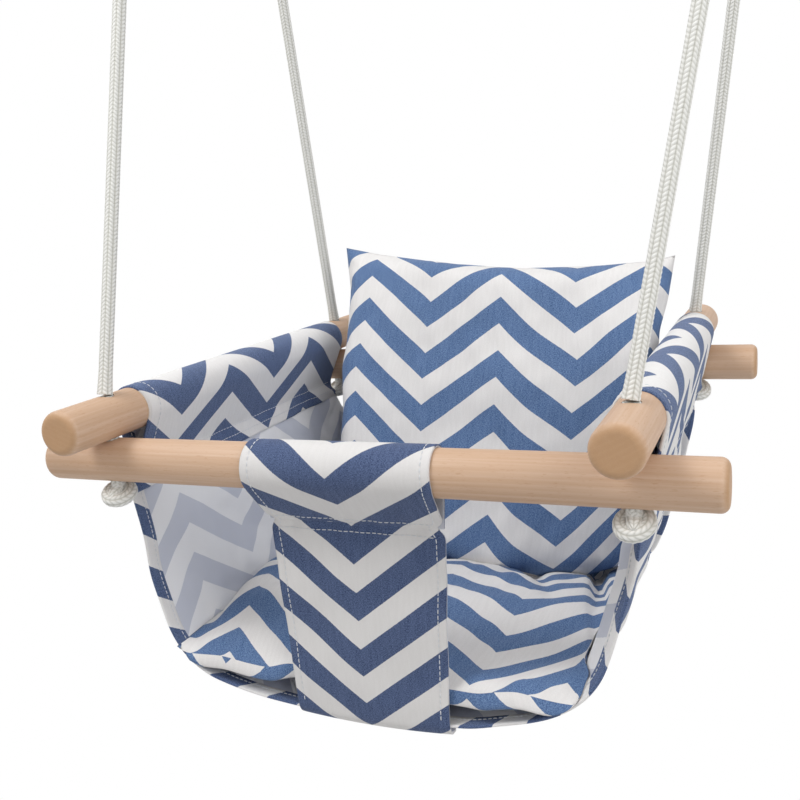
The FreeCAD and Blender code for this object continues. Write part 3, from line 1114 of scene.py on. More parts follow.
def folded_edge(name: str, edge: Array, outward: Array, normals: Array, uv: Array, uv_outward: Array,
                width: float, cloth: float, hem: float = 0.9, air: float = 0.05) -> tuple[Piece, Array]:
    """A hem: the cloth's edge turned over to its reverse, so that the print shows there.

    Across the fold the printed face is a half circle of the two layers' thickness and then a flat
    strip; along it, the strip follows the edge.

    Args:
        name: the piece's name.
        edge: (n, 3) points of the printed face at the edge.
        outward: (n, 3) directions in the cloth, out over the edge.
        normals: (n, 3) normals of the printed face.
        uv, uv_outward: (n, 2) cloth coordinates in metres at the edge, and their change outwards.
        width: the strip's width.
        cloth, hem, air: thicknesses of the cloth, of the turned layer and of the air round which it turns.

    Returns:
        The hem and the grid of its printed face.
    """
    radius = (cloth + hem) / 2 + air
    angle = np.linspace(math.pi / 2, -math.pi / 2, 9)
    fold = np.stack([radius * np.cos(angle), radius * np.sin(angle) - radius], 1)
    inwards = np.linspace(0, -width, 9)[1:]
    strip = np.stack([inwards, np.full(len(inwards), -2 * radius)], 1)
    profile = np.concatenate([fold, strip])
    passed = along(profile)
    face = (edge[:, None] + profile[None, :, :1] * outward[:, None]
            + profile[None, :, 1:] * normals[:, None])
    cloth_uv = uv[:, None] + MM * passed[None, :, None] * uv_outward[:, None]
    return cloth_shell(name, face, cloth_uv, hem), face


def over_rail(rail: Array, radius: float, start: Array, stop: Array, counts: tuple[int, ...],
              way: int) -> Array:
    """A sheet's section from a point over a round rail to another: a tangent, an arc and a tangent.

    The tangent from a point at distance d meets the circle arccos(radius / d) from the point's angle.

    Args:
        rail, radius: the circle's centre and radius.
        start, stop: the two points.
        counts: how many points the first tangent, the arc and the second tangent have.
        way: 1 for an arc that runs anticlockwise, and -1 for a clockwise one.

    Returns:
        (n, 2) points.
    """
    ends = []
    for point, sign in ((start, way), (stop, -way)):
        away = point - rail
        angle = math.atan2(away[1], away[0]) + sign * math.acos(radius / np.linalg.norm(away))
        ends.append(angle + (2 * math.pi if sign < 0 else 0.0))
    turned = np.linspace(*ends, counts[1])
    arc = rail + radius * np.stack([np.cos(turned), np.sin(turned)], 1)
    return np.concatenate([np.linspace(start, arc[0], counts[0])[:-1], arc[:-1],
                           np.linspace(arc[-1], stop, counts[2])])


# ---------------- the sewn seat

@dataclass
class Sling:
    """One piece of canvas for both sides and the base, its ends turned over the side rails.

    Across the seat it runs from the left flap's cut edge, up inside the left side, over the rail, down
    outside, through the base and up the right side in the same way. Each side's outline is given as
    half widths and heights at the front edge; towards the rear it falls by drop and narrows. The grid's
    rows are counted as flap, inner side, arc, outer side and the rest. The slack is waves of (height,
    length along y, length along z), the pleats and gathers have a height, and the steps are pairs of z
    between which the front and rear edges move.
    """

    cloth: float = 1.1
    on_rail: float = 0.25
    front_y: float = -160.0
    rear_low_y: float = 156.0
    rear_top_y: float = 174.5
    sleeve_front_y: float = -150.0
    sleeve_rear_y: float = 157.0
    tip: Pair = (178.8, -22.0)
    left_outline: tuple = ((171.5, -62.0), (171.0, -90.0), (165.5, -112.0), (159.5, -135.0), (148.0, -153.0),
                           (130.0, -165.0), (108.0, -171.3), (62.0, -178.0), (0.0, -181.0))
    right_outline: tuple = ((172.5, -64.0), (164.5, -88.0), (159.0, -108.0), (151.5, -130.0), (140.0, -146.0),
                            (123.0, -158.5), (103.0, -166.5), (62.0, -175.8), (0.0, -181.0))
    rounding: int = 6
    widest: float = 176.0
    rear_steps_z: tuple[float, ...] = (-196.0, -50.0, -12.0, 20.0)
    front_steps_z: tuple[float, ...] = (-32.0, 0.0, 20.0)
    layer_gap: float = 0.35
    seam_lean: float = 0.4
    drop: float = 14.0
    full_drop_z: float = -128.0
    narrowing: float = 8.0
    flap_end_z: float = -30.0
    seam_rows_z: Pair = (-14.5, -22.5)
    hem_width: float = 10.5
    lip: Pair = (4.0, 8.0)
    waist: float = 8.0
    slack: tuple = ((1.5, 75.0, 60.0), (0.5, 24.0, 30.0))
    base_slack: float = 0.5
    rear_corner: Pair = (168.0, -34.0)
    pleats: float = 1.7
    gathers: float = 0.45
    outer_seam_rows: Pair = (0.7, 5.2)
    end_seam_column: float = 5.7
    face: Array = field(default=None, repr=False)
    counts: tuple[int, ...] = (10, 14, 34, 18, 112)
    columns: int = 132

    def half_section(self, outline: tuple, rearward: float) -> Array:
        """One side's half widths and heights, from the flap's cut edge to the middle of the base.

        The flap is straight up to its tangent with the rail, then an arc over the rail, a tangent down
        to the seam's tip and the rounded outline below it.

        Args:
            outline: the side's points below the tip.
            rearward: 0 at the front edge and 1 at the rear edge.

        Returns:
            (n, 2) points.
        """
        rail = np.array([LAYOUT.half_spacing, LAYOUT.side_rail_z])
        radius = LAYOUT.rail_radius + self.on_rail + self.cloth
        tip = np.array(self.tip)
        lower = np.array([self.tip, *outline])
        fall = np.clip((tip[1] - lower[:, 1]) / (tip[1] - self.full_drop_z), 0, 1)[:, None]
        lower = lower - rearward * fall * np.array([[self.narrowing, self.drop]]) * (lower[:, :1] > 1)
        lower[-1, 1] -= rearward * self.drop
        inward = 2 * self.cloth + self.layer_gap
        slope = (lower[1, 0] - tip[0]) / (lower[1, 1] - tip[1])
        flap_end = np.array([tip[0] + slope * (self.flap_end_z - tip[1]) - inward, self.flap_end_z])
        seam = np.array([tip[0] - inward + self.seam_lean, self.seam_rows_z[0]])

        return np.concatenate([np.linspace(flap_end, seam, self.counts[0])[:-1],
                               over_rail(rail, radius, seam, tip, self.counts[1:4], -1)[:-1],
                               bent_line(lower, self.counts[4], self.rounding)])

    def columns_y(self, section: Array, count: int) -> Array:
        """The y of each point of the grid, rear to front: the rear edge meets the back panel.

        Args:
            section: (n, 2) half widths and heights.
            count: the number of columns.

        Returns:
            (n, count) values.
        """
        z = section[:, 1]
        rear = np.interp(z, self.rear_steps_z, [self.rear_low_y, self.rear_top_y, self.sleeve_rear_y,
                                                self.sleeve_rear_y])
        front = np.interp(z, self.front_steps_z, [self.front_y, self.sleeve_front_y, self.sleeve_front_y])
        share = np.linspace(0, 1, count)[None, :]
        return rear[:, None] * (1 - share) + front[:, None] * share

    def printed_face(self) -> tuple[Array, Array]:
        """The printed face: each side's front section blended into its rear one.

        Returns:
            The grid, and its cloth coordinates (y, distance round the section).
        """
        sides, lengths, depths = [], [], []
        for sign, outline in ((-1, self.left_outline), (1, self.right_outline)):
            front, rear = self.half_section(outline, 0.0), self.half_section(outline, 1.0)
            y = self.columns_y(front, self.columns)
            rearward = ((y - self.front_y) / (self.rear_low_y - self.front_y))[..., None]
            half = front[:, None] * (1 - rearward) + rear[:, None] * rearward
            sides.append(np.stack([sign * half[..., 0], y, half[..., 1]], -1))
            passed = along((front + rear) / 2)
            lengths.append(sign * (passed[-1] - passed))
            depths.append(y)
        face = np.concatenate([sides[0], sides[1][-2::-1]])
        passed = np.concatenate([lengths[0], lengths[1][-2::-1]])
        whole_y = np.concatenate([depths[0], depths[1][-2::-1]])
        uv = MM * np.stack([whole_y, np.broadcast_to(passed[:, None], whole_y.shape)], -1)
        return self.rippled(face), uv

    def rippled(self, face: Array) -> Array:
        """Adds the cloth's slack, by sums of waves that fade out where the cloth is held.

        The sides sway and the base sags in soft waves, pleats fan from each rear corner, the sleeves'
        seams are gathered, and the right side curls in at its front and is drawn in behind.

        Args:
            face: the plain grid.

        Returns:
            The grid with its slack.
        """
        x, y, z = face[..., 0], face[..., 1], face[..., 2]
        sway = sum(height * smooth_noise(y / length, z / depth, seed)
                   for seed, (height, length, depth) in enumerate(self.slack, 11))
        sway = sway * fade(z, 8.0, -30.0) * fade(z, -172.0, -140.0)
        sway *= fade(y, 172.0, 120.0) * fade(y, -160.0, -110.0)
        corner_y, corner_z = self.rear_corner
        fan = np.arctan2(corner_z + 6 - z, corner_y + 10 - y)
        reach = np.hypot(corner_y - y, corner_z - z)
        pleats = self.pleats * np.sin(13 * fan + 0.8) * hump(reach, 0, 42) * fade(reach, 2.0, 16.0)
        pleats *= fade(z, 4.0, -26.0)
        gathers = self.gathers * np.sin(y / 4.1 + 1.3 * np.sin(y / 17)) * hump(z, -18, 9)
        gathers *= fade(y, -150.0, -120.0)
        side = np.sign(x) * (np.abs(x) > 100)
        lip = (x > 100) * self.lip_at(y, z)
        waist = self.waist * (x > 100) * fade(y, 40.0, 150.0) * fade(z, -22.0, -44.0)
        waist *= fade(z, -126.0, -82.0)
        sag = self.base_slack * fade(z, -150.0, -174.0) * smooth_noise(x / 60, y / 70, 13)
        return face + np.stack([side * (sway + pleats + gathers) - lip - waist, np.zeros_like(x), sag], -1)

    def lip_at(self, y: Array, z: Array) -> Array:
        """How far the right side's front edge curls inwards: a fold at the edge, then a step behind it.

        Args:
            y, z: places on the side.

        Returns:
            The distances inwards.
        """
        fold, step = self.lip
        curl = fold * fade(y, -160.0, -151.0) + step * fade(y, -151.0, -139.0)
        curl = curl * fade(y, -85.0, -130.0)
        return curl * fade(z, -28.0, -52.0) * fade(z, -166.0, -146.0)

    def below_seam(self, outline: tuple) -> Array:
        """One side's section at the front below the seam, from the middle of the base outwards."""
        return self.half_section(outline, 0.0)[-self.counts[4]:][::-1]

    def rearward(self, y: Array) -> Array:
        """The share of the way from the front edge to the rear one."""
        return np.clip((y - self.front_y) / (self.rear_low_y - self.front_y), 0, 1)

    def wall(self, y: Array, z: Array) -> Array:
        """The half width of the right side's inner face.

        Args:
            y, z: places on the side.

        Returns:
            The half widths.
        """
        outline, rearward = self.below_seam(self.right_outline), self.rearward(y)
        half = np.interp(z + rearward * self.drop, outline[:, 1], outline[:, 0])
        return half - rearward * self.narrowing - self.cloth - self.lip_at(y, z)

    def inner_height(self, x: Array, y: Array) -> Array:
        """The height of the inner face; the right side's curl depends on it, so it is found in rounds.

        Args:
            x, y: places over the seat.

        Returns:
            The heights.
        """
        left, right = self.below_seam(self.left_outline), self.below_seam(self.right_outline)
        rearward = self.rearward(y)
        half = np.abs(x) + self.cloth + rearward * self.narrowing * (np.abs(x) > 1)
        height = np.interp(np.minimum(half, self.widest), right[:, 0], right[:, 1])
        for _ in range(4):
            curled = half + self.lip_at(y, height - rearward * self.drop)
            height = np.interp(np.minimum(curled, self.widest), right[:, 0], right[:, 1])
        flat = np.interp(np.minimum(half, self.widest), left[:, 0], left[:, 1])
        return np.where(x < 0, flat, height) - rearward * self.drop + self.cloth

    def build(self, canvas: Material, white: Material) -> None:
        """Builds the sling, its front hem and its stitching.

        Args:
            canvas: the printed cloth.
            white: the thread.
        """
        face, uv = self.printed_face()
        self.face = face
        piece = dress(cloth_shell("seat_sling", face, uv, self.cloth), canvas, Body.SEAT)
        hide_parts("sling", "left_sleeve", "right_sleeve")
        flap = self.counts[0] - 1
        hem_rows = slice(3, len(face) - 3)
        edge = face[hem_rows, -1]
        outward = unit(edge - face[hem_rows, -3])
        normals = surface_normals(face)[hem_rows, -1]
        hem, hem_face = folded_edge("seat_sling_front_hem", edge, outward, normals, uv[hem_rows, -1],
                                    np.tile([-1.0, 0.0], (len(edge), 1)), self.hem_width, self.cloth)
        dress(hem, canvas, Body.SEAT)
        rows = np.arange(flap + 4, len(hem_face) - flap - 4, 0.4)
        inner = row_on(hem_face, rows, np.full(rows.shape, 13.4))
        Stitching(radius=0.33).rows("seat_sling_hem_stitches", [inner], white)
        self.stitch_sleeves(white)

    def stitch_sleeves(self, white: Material) -> None:
        """Two rows along each sleeve's seam, seen inside and outside, and one round its front end.

        Args:
            white: the thread.
        """
        first = (self.seam_rows_z[0] - self.flap_end_z) / 2
        step = (self.seam_rows_z[0] - self.flap_end_z) / (self.counts[0] - 1)
        last = len(self.face) - 1
        columns = np.linspace(2, self.face.shape[1] - 2, 400)
        paths = []
        for z in self.seam_rows_z:
            row = min((z - self.flap_end_z) / step, self.counts[0] + 1.0)
            for at in (row, last - row):
                paths.append(row_on(self.face, np.full(len(columns), at), columns))
        outer = sum(self.counts[:4]) - 4
        for offset in self.outer_seam_rows:
            for at in (outer + offset, last - outer - offset):
                paths.append(row_on(self.face, np.full(len(columns), at), columns))
        around = np.linspace(first, outer, 220)
        column = self.face.shape[1] - self.end_seam_column
        for rows in (around, last - around):
            paths.append(row_on(self.face, rows, np.full(len(around), column)))
        Stitching(length=3.0, radius=0.3, lift=0.05).rows("seat_sling_stitches", paths, white)


@dataclass
class BackPanel:
    """The canvas behind the cushion: turned over the back rail, and sewn to the sling's rear edge.

    Its own edge stands out past the sling as a flange, turned forward and hemmed. The sleeve's rows are
    counted as flap, front, arc and back, and the panel's come last; full is the share of its box that
    the panel's outline fills, and it is not used.
    """

    cloth: float = 1.1
    on_rail: float = 0.25
    top_half: float = 146.0
    tip: Pair = (177.0, -46.0)
    foot_y: float = 159.2
    side: tuple = ((146.0, -46.0), (160.0, -42.0), (173.0, -38.0), (171.0, -56.0), (165.5, -80.0),
                   (160.0, -104.0), (154.0, -126.0), (147.0, -150.0), (138.0, -171.0), (124.0, -185.0))
    middle_z: float = -203.0
    full: float = 0.86
    slack: float = 3.0
    pucker: float = 0.8
    sleeve_pucker: float = 0.7
    hem_width: float = 9.0
    counts: tuple[int, ...] = (14, 26, 30, 30, 120)
    columns: int = 180

    def build(self, canvas: Material, white: Material) -> None:
        """Builds the panel with its sleeve, its hem and their stitching.

        Args:
            canvas: the printed cloth.
            white: the thread.
        """
        sleeve_face, sleeve_uv = self.sleeve()
        sleeve = cloth_shell("back_rail_sleeve", sleeve_face, sleeve_uv, self.cloth)
        dress(sleeve, canvas, Body.SEAT)
        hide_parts("back_sleeve")
        face, uv = self.panel()
        piece = dress(cloth_shell("back_panel_sheet", face, uv, self.cloth), canvas, Body.SEAT)
        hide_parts("back_panel")
        edge, outward, normals, edge_uv, uv_outward = (part[::-1] for part in self.rim(face, uv))
        hem, hem_face = folded_edge("back_panel_hem", edge, outward, normals, edge_uv, uv_outward,
                                    self.hem_width, self.cloth)
        dress(hem, canvas, Body.SEAT)
        rows = np.arange(2, len(hem_face) - 3, 0.5)
        inner = row_on(hem_face, rows, np.full(rows.shape, 14.0))
        Stitching(radius=0.33).rows("back_panel_hem_stitches", [inner], white)
        columns = np.linspace(2, self.columns - 3, 300)
        seam = row_on(face, np.full(len(columns), 1.5), columns)
        Stitching(length=3.0, radius=0.3, lift=0.05).rows("back_panel_stitches", [seam], white)

    def sleeve(self) -> tuple[Array, Array]:
        """The flap down the panel's front, the arc over the rail, and the tangent down behind it.

        Returns:
            The grid and its cloth coordinates.
        """
        rail = np.array([LAYOUT.half_spacing, 0.0])
        radius = LAYOUT.rail_radius + self.on_rail + self.cloth
        tip = np.array(self.tip)
        seam = tip - (2 * self.cloth + 0.4, 0.0)
        path = np.concatenate([np.linspace(seam - (1.0, 9.0), seam, self.counts[0])[:-1],
                               over_rail(rail, radius, seam, tip, self.counts[1:4], -1)])
        x = np.linspace(-self.top_half, self.top_half, self.columns)
        passed = along(path) - along(path)[-1]
        x, y, z, v = np.broadcast_arrays(x, path[:, :1], path[:, 1:], self.tip[1] - passed[:, None])
        wave = self.sleeve_pucker * np.sin(x / 5.3 + np.sin(x / 21)) * hump(z, -44, 9)
        face, uv = np.stack([x, y + wave, z], -1), MM * np.stack([x, v], -1)
        return face[:, ::-1], uv[:, ::-1]

    def panel(self) -> tuple[Array, Array]:
        """The panel: x = a * W(t), and z = middle(t) + |a|^5 * (side(t) - middle(t)), for a from -1 to 1.

        Returns:
            The grid and its cloth coordinates.
        """
        side = bent_line(self.side, self.counts[4], 5)
        a = np.linspace(1, -1, self.columns)[None, :]
        middle = np.linspace(self.tip[1], self.middle_z, self.counts[4])[:, None]
        z = middle + np.abs(a) ** 5 * (side[:, 1:] - middle)
        x = a * side[:, :1]
        share = (self.tip[1] - z) / (self.tip[1] - self.middle_z)
        y = self.tip[0] + (self.foot_y - self.tip[0]) * share
        inside = (1 - np.abs(a) ** 4) * fade(z, -46.0, -80.0) * fade(z, -200.0, -160.0)
        y = y + inside * self.slack * (smooth_noise(x / 120, z / 90, 21) + 1)
        pucker = self.pucker * np.sin(x / 5.3 + np.sin(x / 21)) * hump(z, -46, 12)
        face = np.stack([x, y + pucker, z], -1)
        return face, MM * np.stack([x, z], -1)

    def rim(self, face: Array, uv: Array) -> tuple[Array, ...]:
        """The edge below the sleeve, from the right shoulder round the foot to the left one.

        Args:
            face, uv: the panel's grid and its cloth coordinates.

        Returns:
            The edge's points, outward directions, normals, cloth coordinates and their change outwards.
        """
        normals = surface_normals(face)

        def chain(grid: Array) -> Array:
            """The grid's right side, foot and left side in turn."""
            return np.concatenate([grid[3:-1, 0], grid[-1, :-1], grid[-1:2:-1, -1]])

        edge = smooth_rows(chain(face), 3)
        ahead = unit(np.gradient(edge, axis=0))
        up = unit(smooth_rows(chain(normals), 6))
        outward = unit(np.cross(ahead, up))
        return edge, outward, up, chain(uv), outward[:, [0, 2]]


@dataclass
class CrotchStrap:
    """The band between the legs: over the front rail, sewn in two rows under it, and down to the base.

    The seam and the foot are y and z, left and right are pairs of distance along the band and x, and the
    seam draws the left and right edges in by tuck.
    """

    cloth: float = 1.9
    on_rail: float = 0.25
    seam: Pair = (-163.0, -40.0)
    foot: tuple = ((-162.8, -110.0), (-162.6, -168.0), (-162.0, -180.0), (-158.0, -186.0), (-150.0, -187.0))
    left: tuple = ((0.0, -64.0), (60.0, -64.0), (110.0, -65.0), (140.0, -64.0), (255.0, -58.5),
                   (290.0, -57.5))
    right: tuple = ((0.0, 58.0), (60.0, 61.0), (100.0, 62.5), (140.0, 59.0), (255.0, 53.0),
                    (290.0, 52.0))
    columns: int = 110
    upper_rows: int = 150
    side_stitch: float = 5.5
    seam_stitches: Pair = (-5.0, 5.5)
    tuck: Pair = (3.0, 4.5)
    pucker: float = 0.55
    slack: float = 1.5
    curl: float = 1.3
    foot_rise: float = 10.0

    def path(self) -> Array:
        """The middle line: the flap behind, an arc over the rail, in to the seam below it, and the band.

        Returns:
            (n, 2) points, as y and z.
        """
        rail = np.array([-LAYOUT.half_spacing, 0.0])
        radius = LAYOUT.rail_radius + self.on_rail + self.cloth
        seam = np.array(self.seam)
        behind = seam + (self.cloth + 0.3, 0.0)
        upper = bent_line(over_rail(rail, radius, behind, seam, (2, 44, 2), 1), self.upper_rows, 2)
        lower = bent_line((self.seam, *self.foot), 150, 5)
        return np.concatenate([upper, lower[1:]])

    def build(self, canvas: Material, white: Material) -> None:
        """Builds the strap and its stitching.

        The band is a straight sheet across, puckered at the seam, slack and bowed out below it, and
        turned up at its foot as the base is.

        Args:
            canvas: the printed cloth.
            white: the thread.
        """
        path = self.path()
        passed = along(path)
        seam_at = passed[self.upper_rows - 1]
        away = passed[:, None] - seam_at
        low = np.interp(passed, *zip(*self.left))[:, None] + self.tuck[0] * hump(away, 0.0, 4.0)
        high = np.interp(passed, *zip(*self.right))[:, None] - self.tuck[1] * hump(away, -1.0, 4.5)
        share = np.linspace(0, 1, self.columns)[None, :]
        x = low + (high - low) * share
        pucker = self.pucker * np.sin(x / 3.1 + 1.7 * np.sin(x / 11))
        pucker = (pucker + 0.5 * smooth_noise(x / 14, away / 18, 31)) * hump(away, 0.0, 11.0)
        slack = self.slack * smooth_noise(x / 60, away / 60, 32)
        slack = slack * fade(away, 6.0, 45.0) * fade(away, 150.0, 110.0)
        curl = self.curl * (1 - (2 * share - 1) ** 2)
        curl = curl * fade(away, 10.0, 60.0) * fade(away, 140.0, 110.0)
        rise = self.foot_rise * (x / 110) ** 2 * fade(away, 110.0, 140.0)
        face = np.stack([x, path[:, :1] - pucker - slack - curl, path[:, 1:] + rise], -1)
        uv = MM * np.stack([x, np.broadcast_to(-passed[:, None], x.shape)], -1)
        piece = dress(cloth_shell("crotch_strap_band", face, uv, self.cloth), canvas, Body.SEAT)
        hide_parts("crotch_strap", "strap_sleeve")
        self.stitch(face, passed, seam_at, high - low, white)

    def stitch(self, face: Array, passed: Array, seam_at: float, width: Array, white: Material) -> None:
        """Two rows across at the seam and one down each side.

        Args:
            face: the band's grid.
            passed: the distance along the band at each row.
            seam_at: that distance at the seam.
            width: the band's width at each row.
            white: the thread.
        """
        paths = []
        across = np.linspace(5, self.columns - 6, 300)
        for offset in self.seam_stitches:
            row = np.interp(seam_at + offset, passed, np.arange(len(passed)))
            paths.append(row_on(face, np.full(len(across), row), across))
        rows = np.linspace(20, len(passed) - 22, 700)
        margin = self.side_stitch / np.interp(rows, np.arange(len(passed)), width[:, 0]) * (self.columns - 1)
        for column in (margin, self.columns - 1 - margin):
            paths.append(row_on(face, rows, column))
        Stitching(length=3.0, radius=0.34).rows("crotch_strap_stitches", paths, white)


# ---------------- cushions

@dataclass(frozen=True)
class FilledForm:
    """A filled cushion before it is put in its place, one value for each vertex.

    p and q are the shares across and up between its edges, t is the height above the seam's surface, side
    is 1 on the upper sheet, -1 on the lower one and 0 at the seam, rim is the distance from the seam, and
    across_rim is True where the left or right seam is the nearest.
    """

    p: Array
    q: Array
    t: Array
    side: Array
    rim: Array
    across_rim: Array
    quads: Array
    cloth: Array
    seed: int

    def puffed(self, x: Array, y: Array, lump: Pair, fine: Pair, tuck: Pair) -> Array:
        """The height with the filling's lumps, and puckers where the seam gathers the cloth.

        Args:
            x, y: places in millimetres.
            lump, fine: the height and spacing of the large and the small lumps.
            tuck: the height of the puckers, and the length that sets their spacing.

        Returns:
            The new heights.
        """
        lumps = (lump[0] * smooth_noise(x / lump[1], y / lump[1], self.seed)
                 + fine[0] * smooth_noise(x / fine[1], y / fine[1], self.seed + 1))
        around = np.where(self.across_rim, y, x)
        puckers = tuck[0] * np.sin(around / tuck[1] + 1.5 * np.sin(around / 18)) * hump(self.rim, 6, 8)
        return self.t + self.side * (lumps * fade(self.rim, 0.0, 25.0)
                                     + puckers * fade(self.rim, 0.0, 4.0))


@dataclass(frozen=True)
class Pillow:
    """Two sheets of cloth sewn together round their edge and filled.

    Both sheets are one grid of (a, b) from -1 to 1, cut as a rectangle.
    """

    width: float
    height: float
    thickness: float
    rows: int = 96
    columns: int = 96
    pressure: float = 4.5
    frames: int = 22
    first_crown: float = 0.12
    quick_crown: float = 0.5
    evening: int = 5
    seed: int = 1

    def grid(self) -> tuple[Array, Array]:
        """The grid's a and b."""
        return np.meshgrid(np.linspace(-1, 1, self.columns), np.linspace(-1, 1, self.rows))

    def topology(self) -> tuple[Array, Array, Array]:
        """Both sheets welded at the seam.

        Returns:
            The quads, and each vertex's place in the grid and its side.
        """
        index = np.arange(self.rows * self.columns).reshape(self.rows, self.columns)
        inner = np.zeros_like(index)
        inner[1:-1, 1:-1] = 1
        back = index.copy()
        back[inner == 1] = self.rows * self.columns + np.arange(inner.sum())
        quads = grid_quads(self.rows, self.columns)
        quads = np.concatenate([quads[:, ::-1], back.ravel()[quads]])
        place = np.concatenate([index.ravel(), index[inner == 1]])
        side = np.concatenate([np.where(inner.ravel() == 1, 1.0, 0.0), -np.ones(inner.sum())])
        return quads, place, side

    def filled(self) -> FilledForm:
        """Returns:
            The filled form.
        """
        a, b = (part.ravel() for part in self.grid())
        quads, place, side = self.topology()
        crown = (np.clip(1 - a * a, 0, 1) * np.clip(1 - b * b, 0, 1)) ** 0.5
        height = self.first_crown
        t = side * self.thickness * height * crown[place]
        flat = np.stack([a[place] * self.width / 2, b[place] * self.height / 2, t], 1)
        cloth = MM * flat[:, :2]
        flat = self.simulated(flat, quads)
        shape = (self.rows, self.columns)
        across, up = (flat[:self.rows * self.columns, axis].reshape(shape) for axis in (0, 1))
        row, column = place // self.columns, place % self.columns
        low_x, high_x, low_y, high_y = across[row, 0], across[row, -1], up[0, column], up[-1, column]
        middle, size = (flat[:, 2].max() + flat[:, 2].min()) / 2, np.ptp(flat[:, 2])
        p = np.clip((flat[:, 0] - low_x) / (high_x - low_x), 0, 1)
        q = np.clip((flat[:, 1] - low_y) / (high_y - low_y), 0, 1)
        from_side, from_end = (1 - np.abs(a)) * self.width, (1 - np.abs(b)) * self.height
        return FilledForm(p=self.evened(p, a, side, place), q=self.evened(q, b, side, place),
                          t=(flat[:, 2] - middle) * self.thickness / size, side=side,
                          rim=np.minimum(from_side, from_end)[place] / 2,
                          across_rim=(from_side < from_end)[place], quads=quads, cloth=cloth, seed=self.seed)

    def evened(self, share: Array, level: Array, side: Array, place: Array) -> Array:
        """Takes the cloth's small crumples out of the shares across or up, so that its print runs clean.

        Args:
            share: the shares.
            level: the grid's own a or b, which a flat cloth keeps.
            side, place: each vertex's side and its place in the grid.

        Returns:
            The new shares.
        """
        shape = (self.rows, self.columns)
        share = share.copy()
        for sheet in (side >= 0, side <= 0):
            shift = np.zeros(len(level))
            shift[place[sheet]] = share[sheet] - (level[place[sheet]] + 1) / 2
            shift = shift.reshape(shape)
            for _ in range(2):
                shift = smooth_rows(smooth_rows(shift, self.evening).T, self.evening).T
            edge = (level.reshape(shape) + 1) / 2
            share[sheet] = np.where(side[sheet] == 0, share[sheet], (edge + shift).ravel()[place[sheet]])
        return np.clip(share, 0, 1)

    def simulated(self, flat: Array, quads: Array) -> Array:
        """Blows the two flat sheets up with Blender's cloth, with no gravity.

        Args:
            flat: (n, 3) points in millimetres.
            quads: the two sheets' quads.

        Returns:
            (n, 3) points in millimetres.
        """
        piece = make_piece("filling_up", flat * MM, quads, in_metres=True)
        bpy.context.view_layer.objects.active = piece
        modifier = piece.modifiers.new("fill", "CLOTH")
        settings = modifier.settings
        settings.quality = 6
        settings.mass = 0.25
        settings.tension_stiffness = 18.0
        settings.compression_stiffness = 9.0
        settings.shear_stiffness = 4.0
        settings.bending_stiffness = 0.6
        settings.use_pressure = True
        settings.uniform_pressure_force = self.pressure
        settings.effector_weights.gravity = 0.0
        modifier.collision_settings.use_collision = False
        modifier.point_cache.frame_start, modifier.point_cache.frame_end = 1, self.frames
        scene = bpy.context.scene
        for number in range(1, self.frames + 1):
            scene.frame_set(number)
        shaped = piece.evaluated_get(bpy.context.evaluated_depsgraph_get()).to_mesh()
        points = np.empty(3 * len(shaped.vertices), np.float32)
        shaped.vertices.foreach_get("co", points)
        piece.evaluated_get(bpy.context.evaluated_depsgraph_get()).to_mesh_clear()
        scene.frame_set(1)
        bpy.data.objects.remove(piece)
        return points.reshape(-1, 3).astype(float) / MM


@dataclass
class BackCushion:
    """The cushion behind the child, leaning on the back rail, with one corner standing up.

    Its edges are given on the leaning plane, across and up from its middle.
    """

    pillow: Pillow = Pillow(286.0, 272.0, 66.0, seed=3)
    centre: tuple[float, float, float] = (2.0, 98.0, -20.0)
    lean: float = 18.4
    top: tuple = ((-141.0, 145.0), (-106.0, 137.0), (-36.0, 125.0), (29.0, 118.0), (99.0, 117.0),
                  (141.0, 119.0), (161.0, 123.0))
    foot: tuple = ((-134.0, -136.0), (-24.0, -142.0), (39.0, -150.0), (87.0, -146.0), (115.0, -136.0),
                   (130.0, -130.0))
    left: tuple = ((-134.0, -136.0), (-133.0, -28.0), (-134.0, 14.0), (-135.0, 66.0), (-134.0, 104.0),
                   (-141.0, 145.0))
    right: tuple = ((130.0, -130.0), (141.0, -50.0), (149.0, 36.0), (150.0, 61.0), (156.0, 86.0),
                    (161.0, 123.0))

    def build(self, canvas: Material) -> None:
        """Builds the cushion, its filled form laid between the edges and tipped back by the lean.

        Args:
            canvas: the printed cloth.
        """
        form = self.pillow.filled()
        flat = edge_patch(self.foot, self.top, self.left, self.right, form.p, form.q)
        x, v = flat[:, 0], flat[:, 1]
        t = form.puffed(x, v, lump=(1.8, 85.0), fine=(0.7, 30.0), tuck=(0.9, 4.3))
        lean = math.radians(self.lean)
        points = np.stack([self.centre[0] + x,
                           self.centre[1] + v * math.sin(lean) - t * math.cos(lean),
                           self.centre[2] + v * math.cos(lean) + t * math.sin(lean)], 1)
        piece = make_piece("back_cushion_pillow", points, form.quads, form.cloth)
        dress(piece, canvas, Body.BACK_CUSHION)
        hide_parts("back_cushion_cover", "back_cushion_filling")


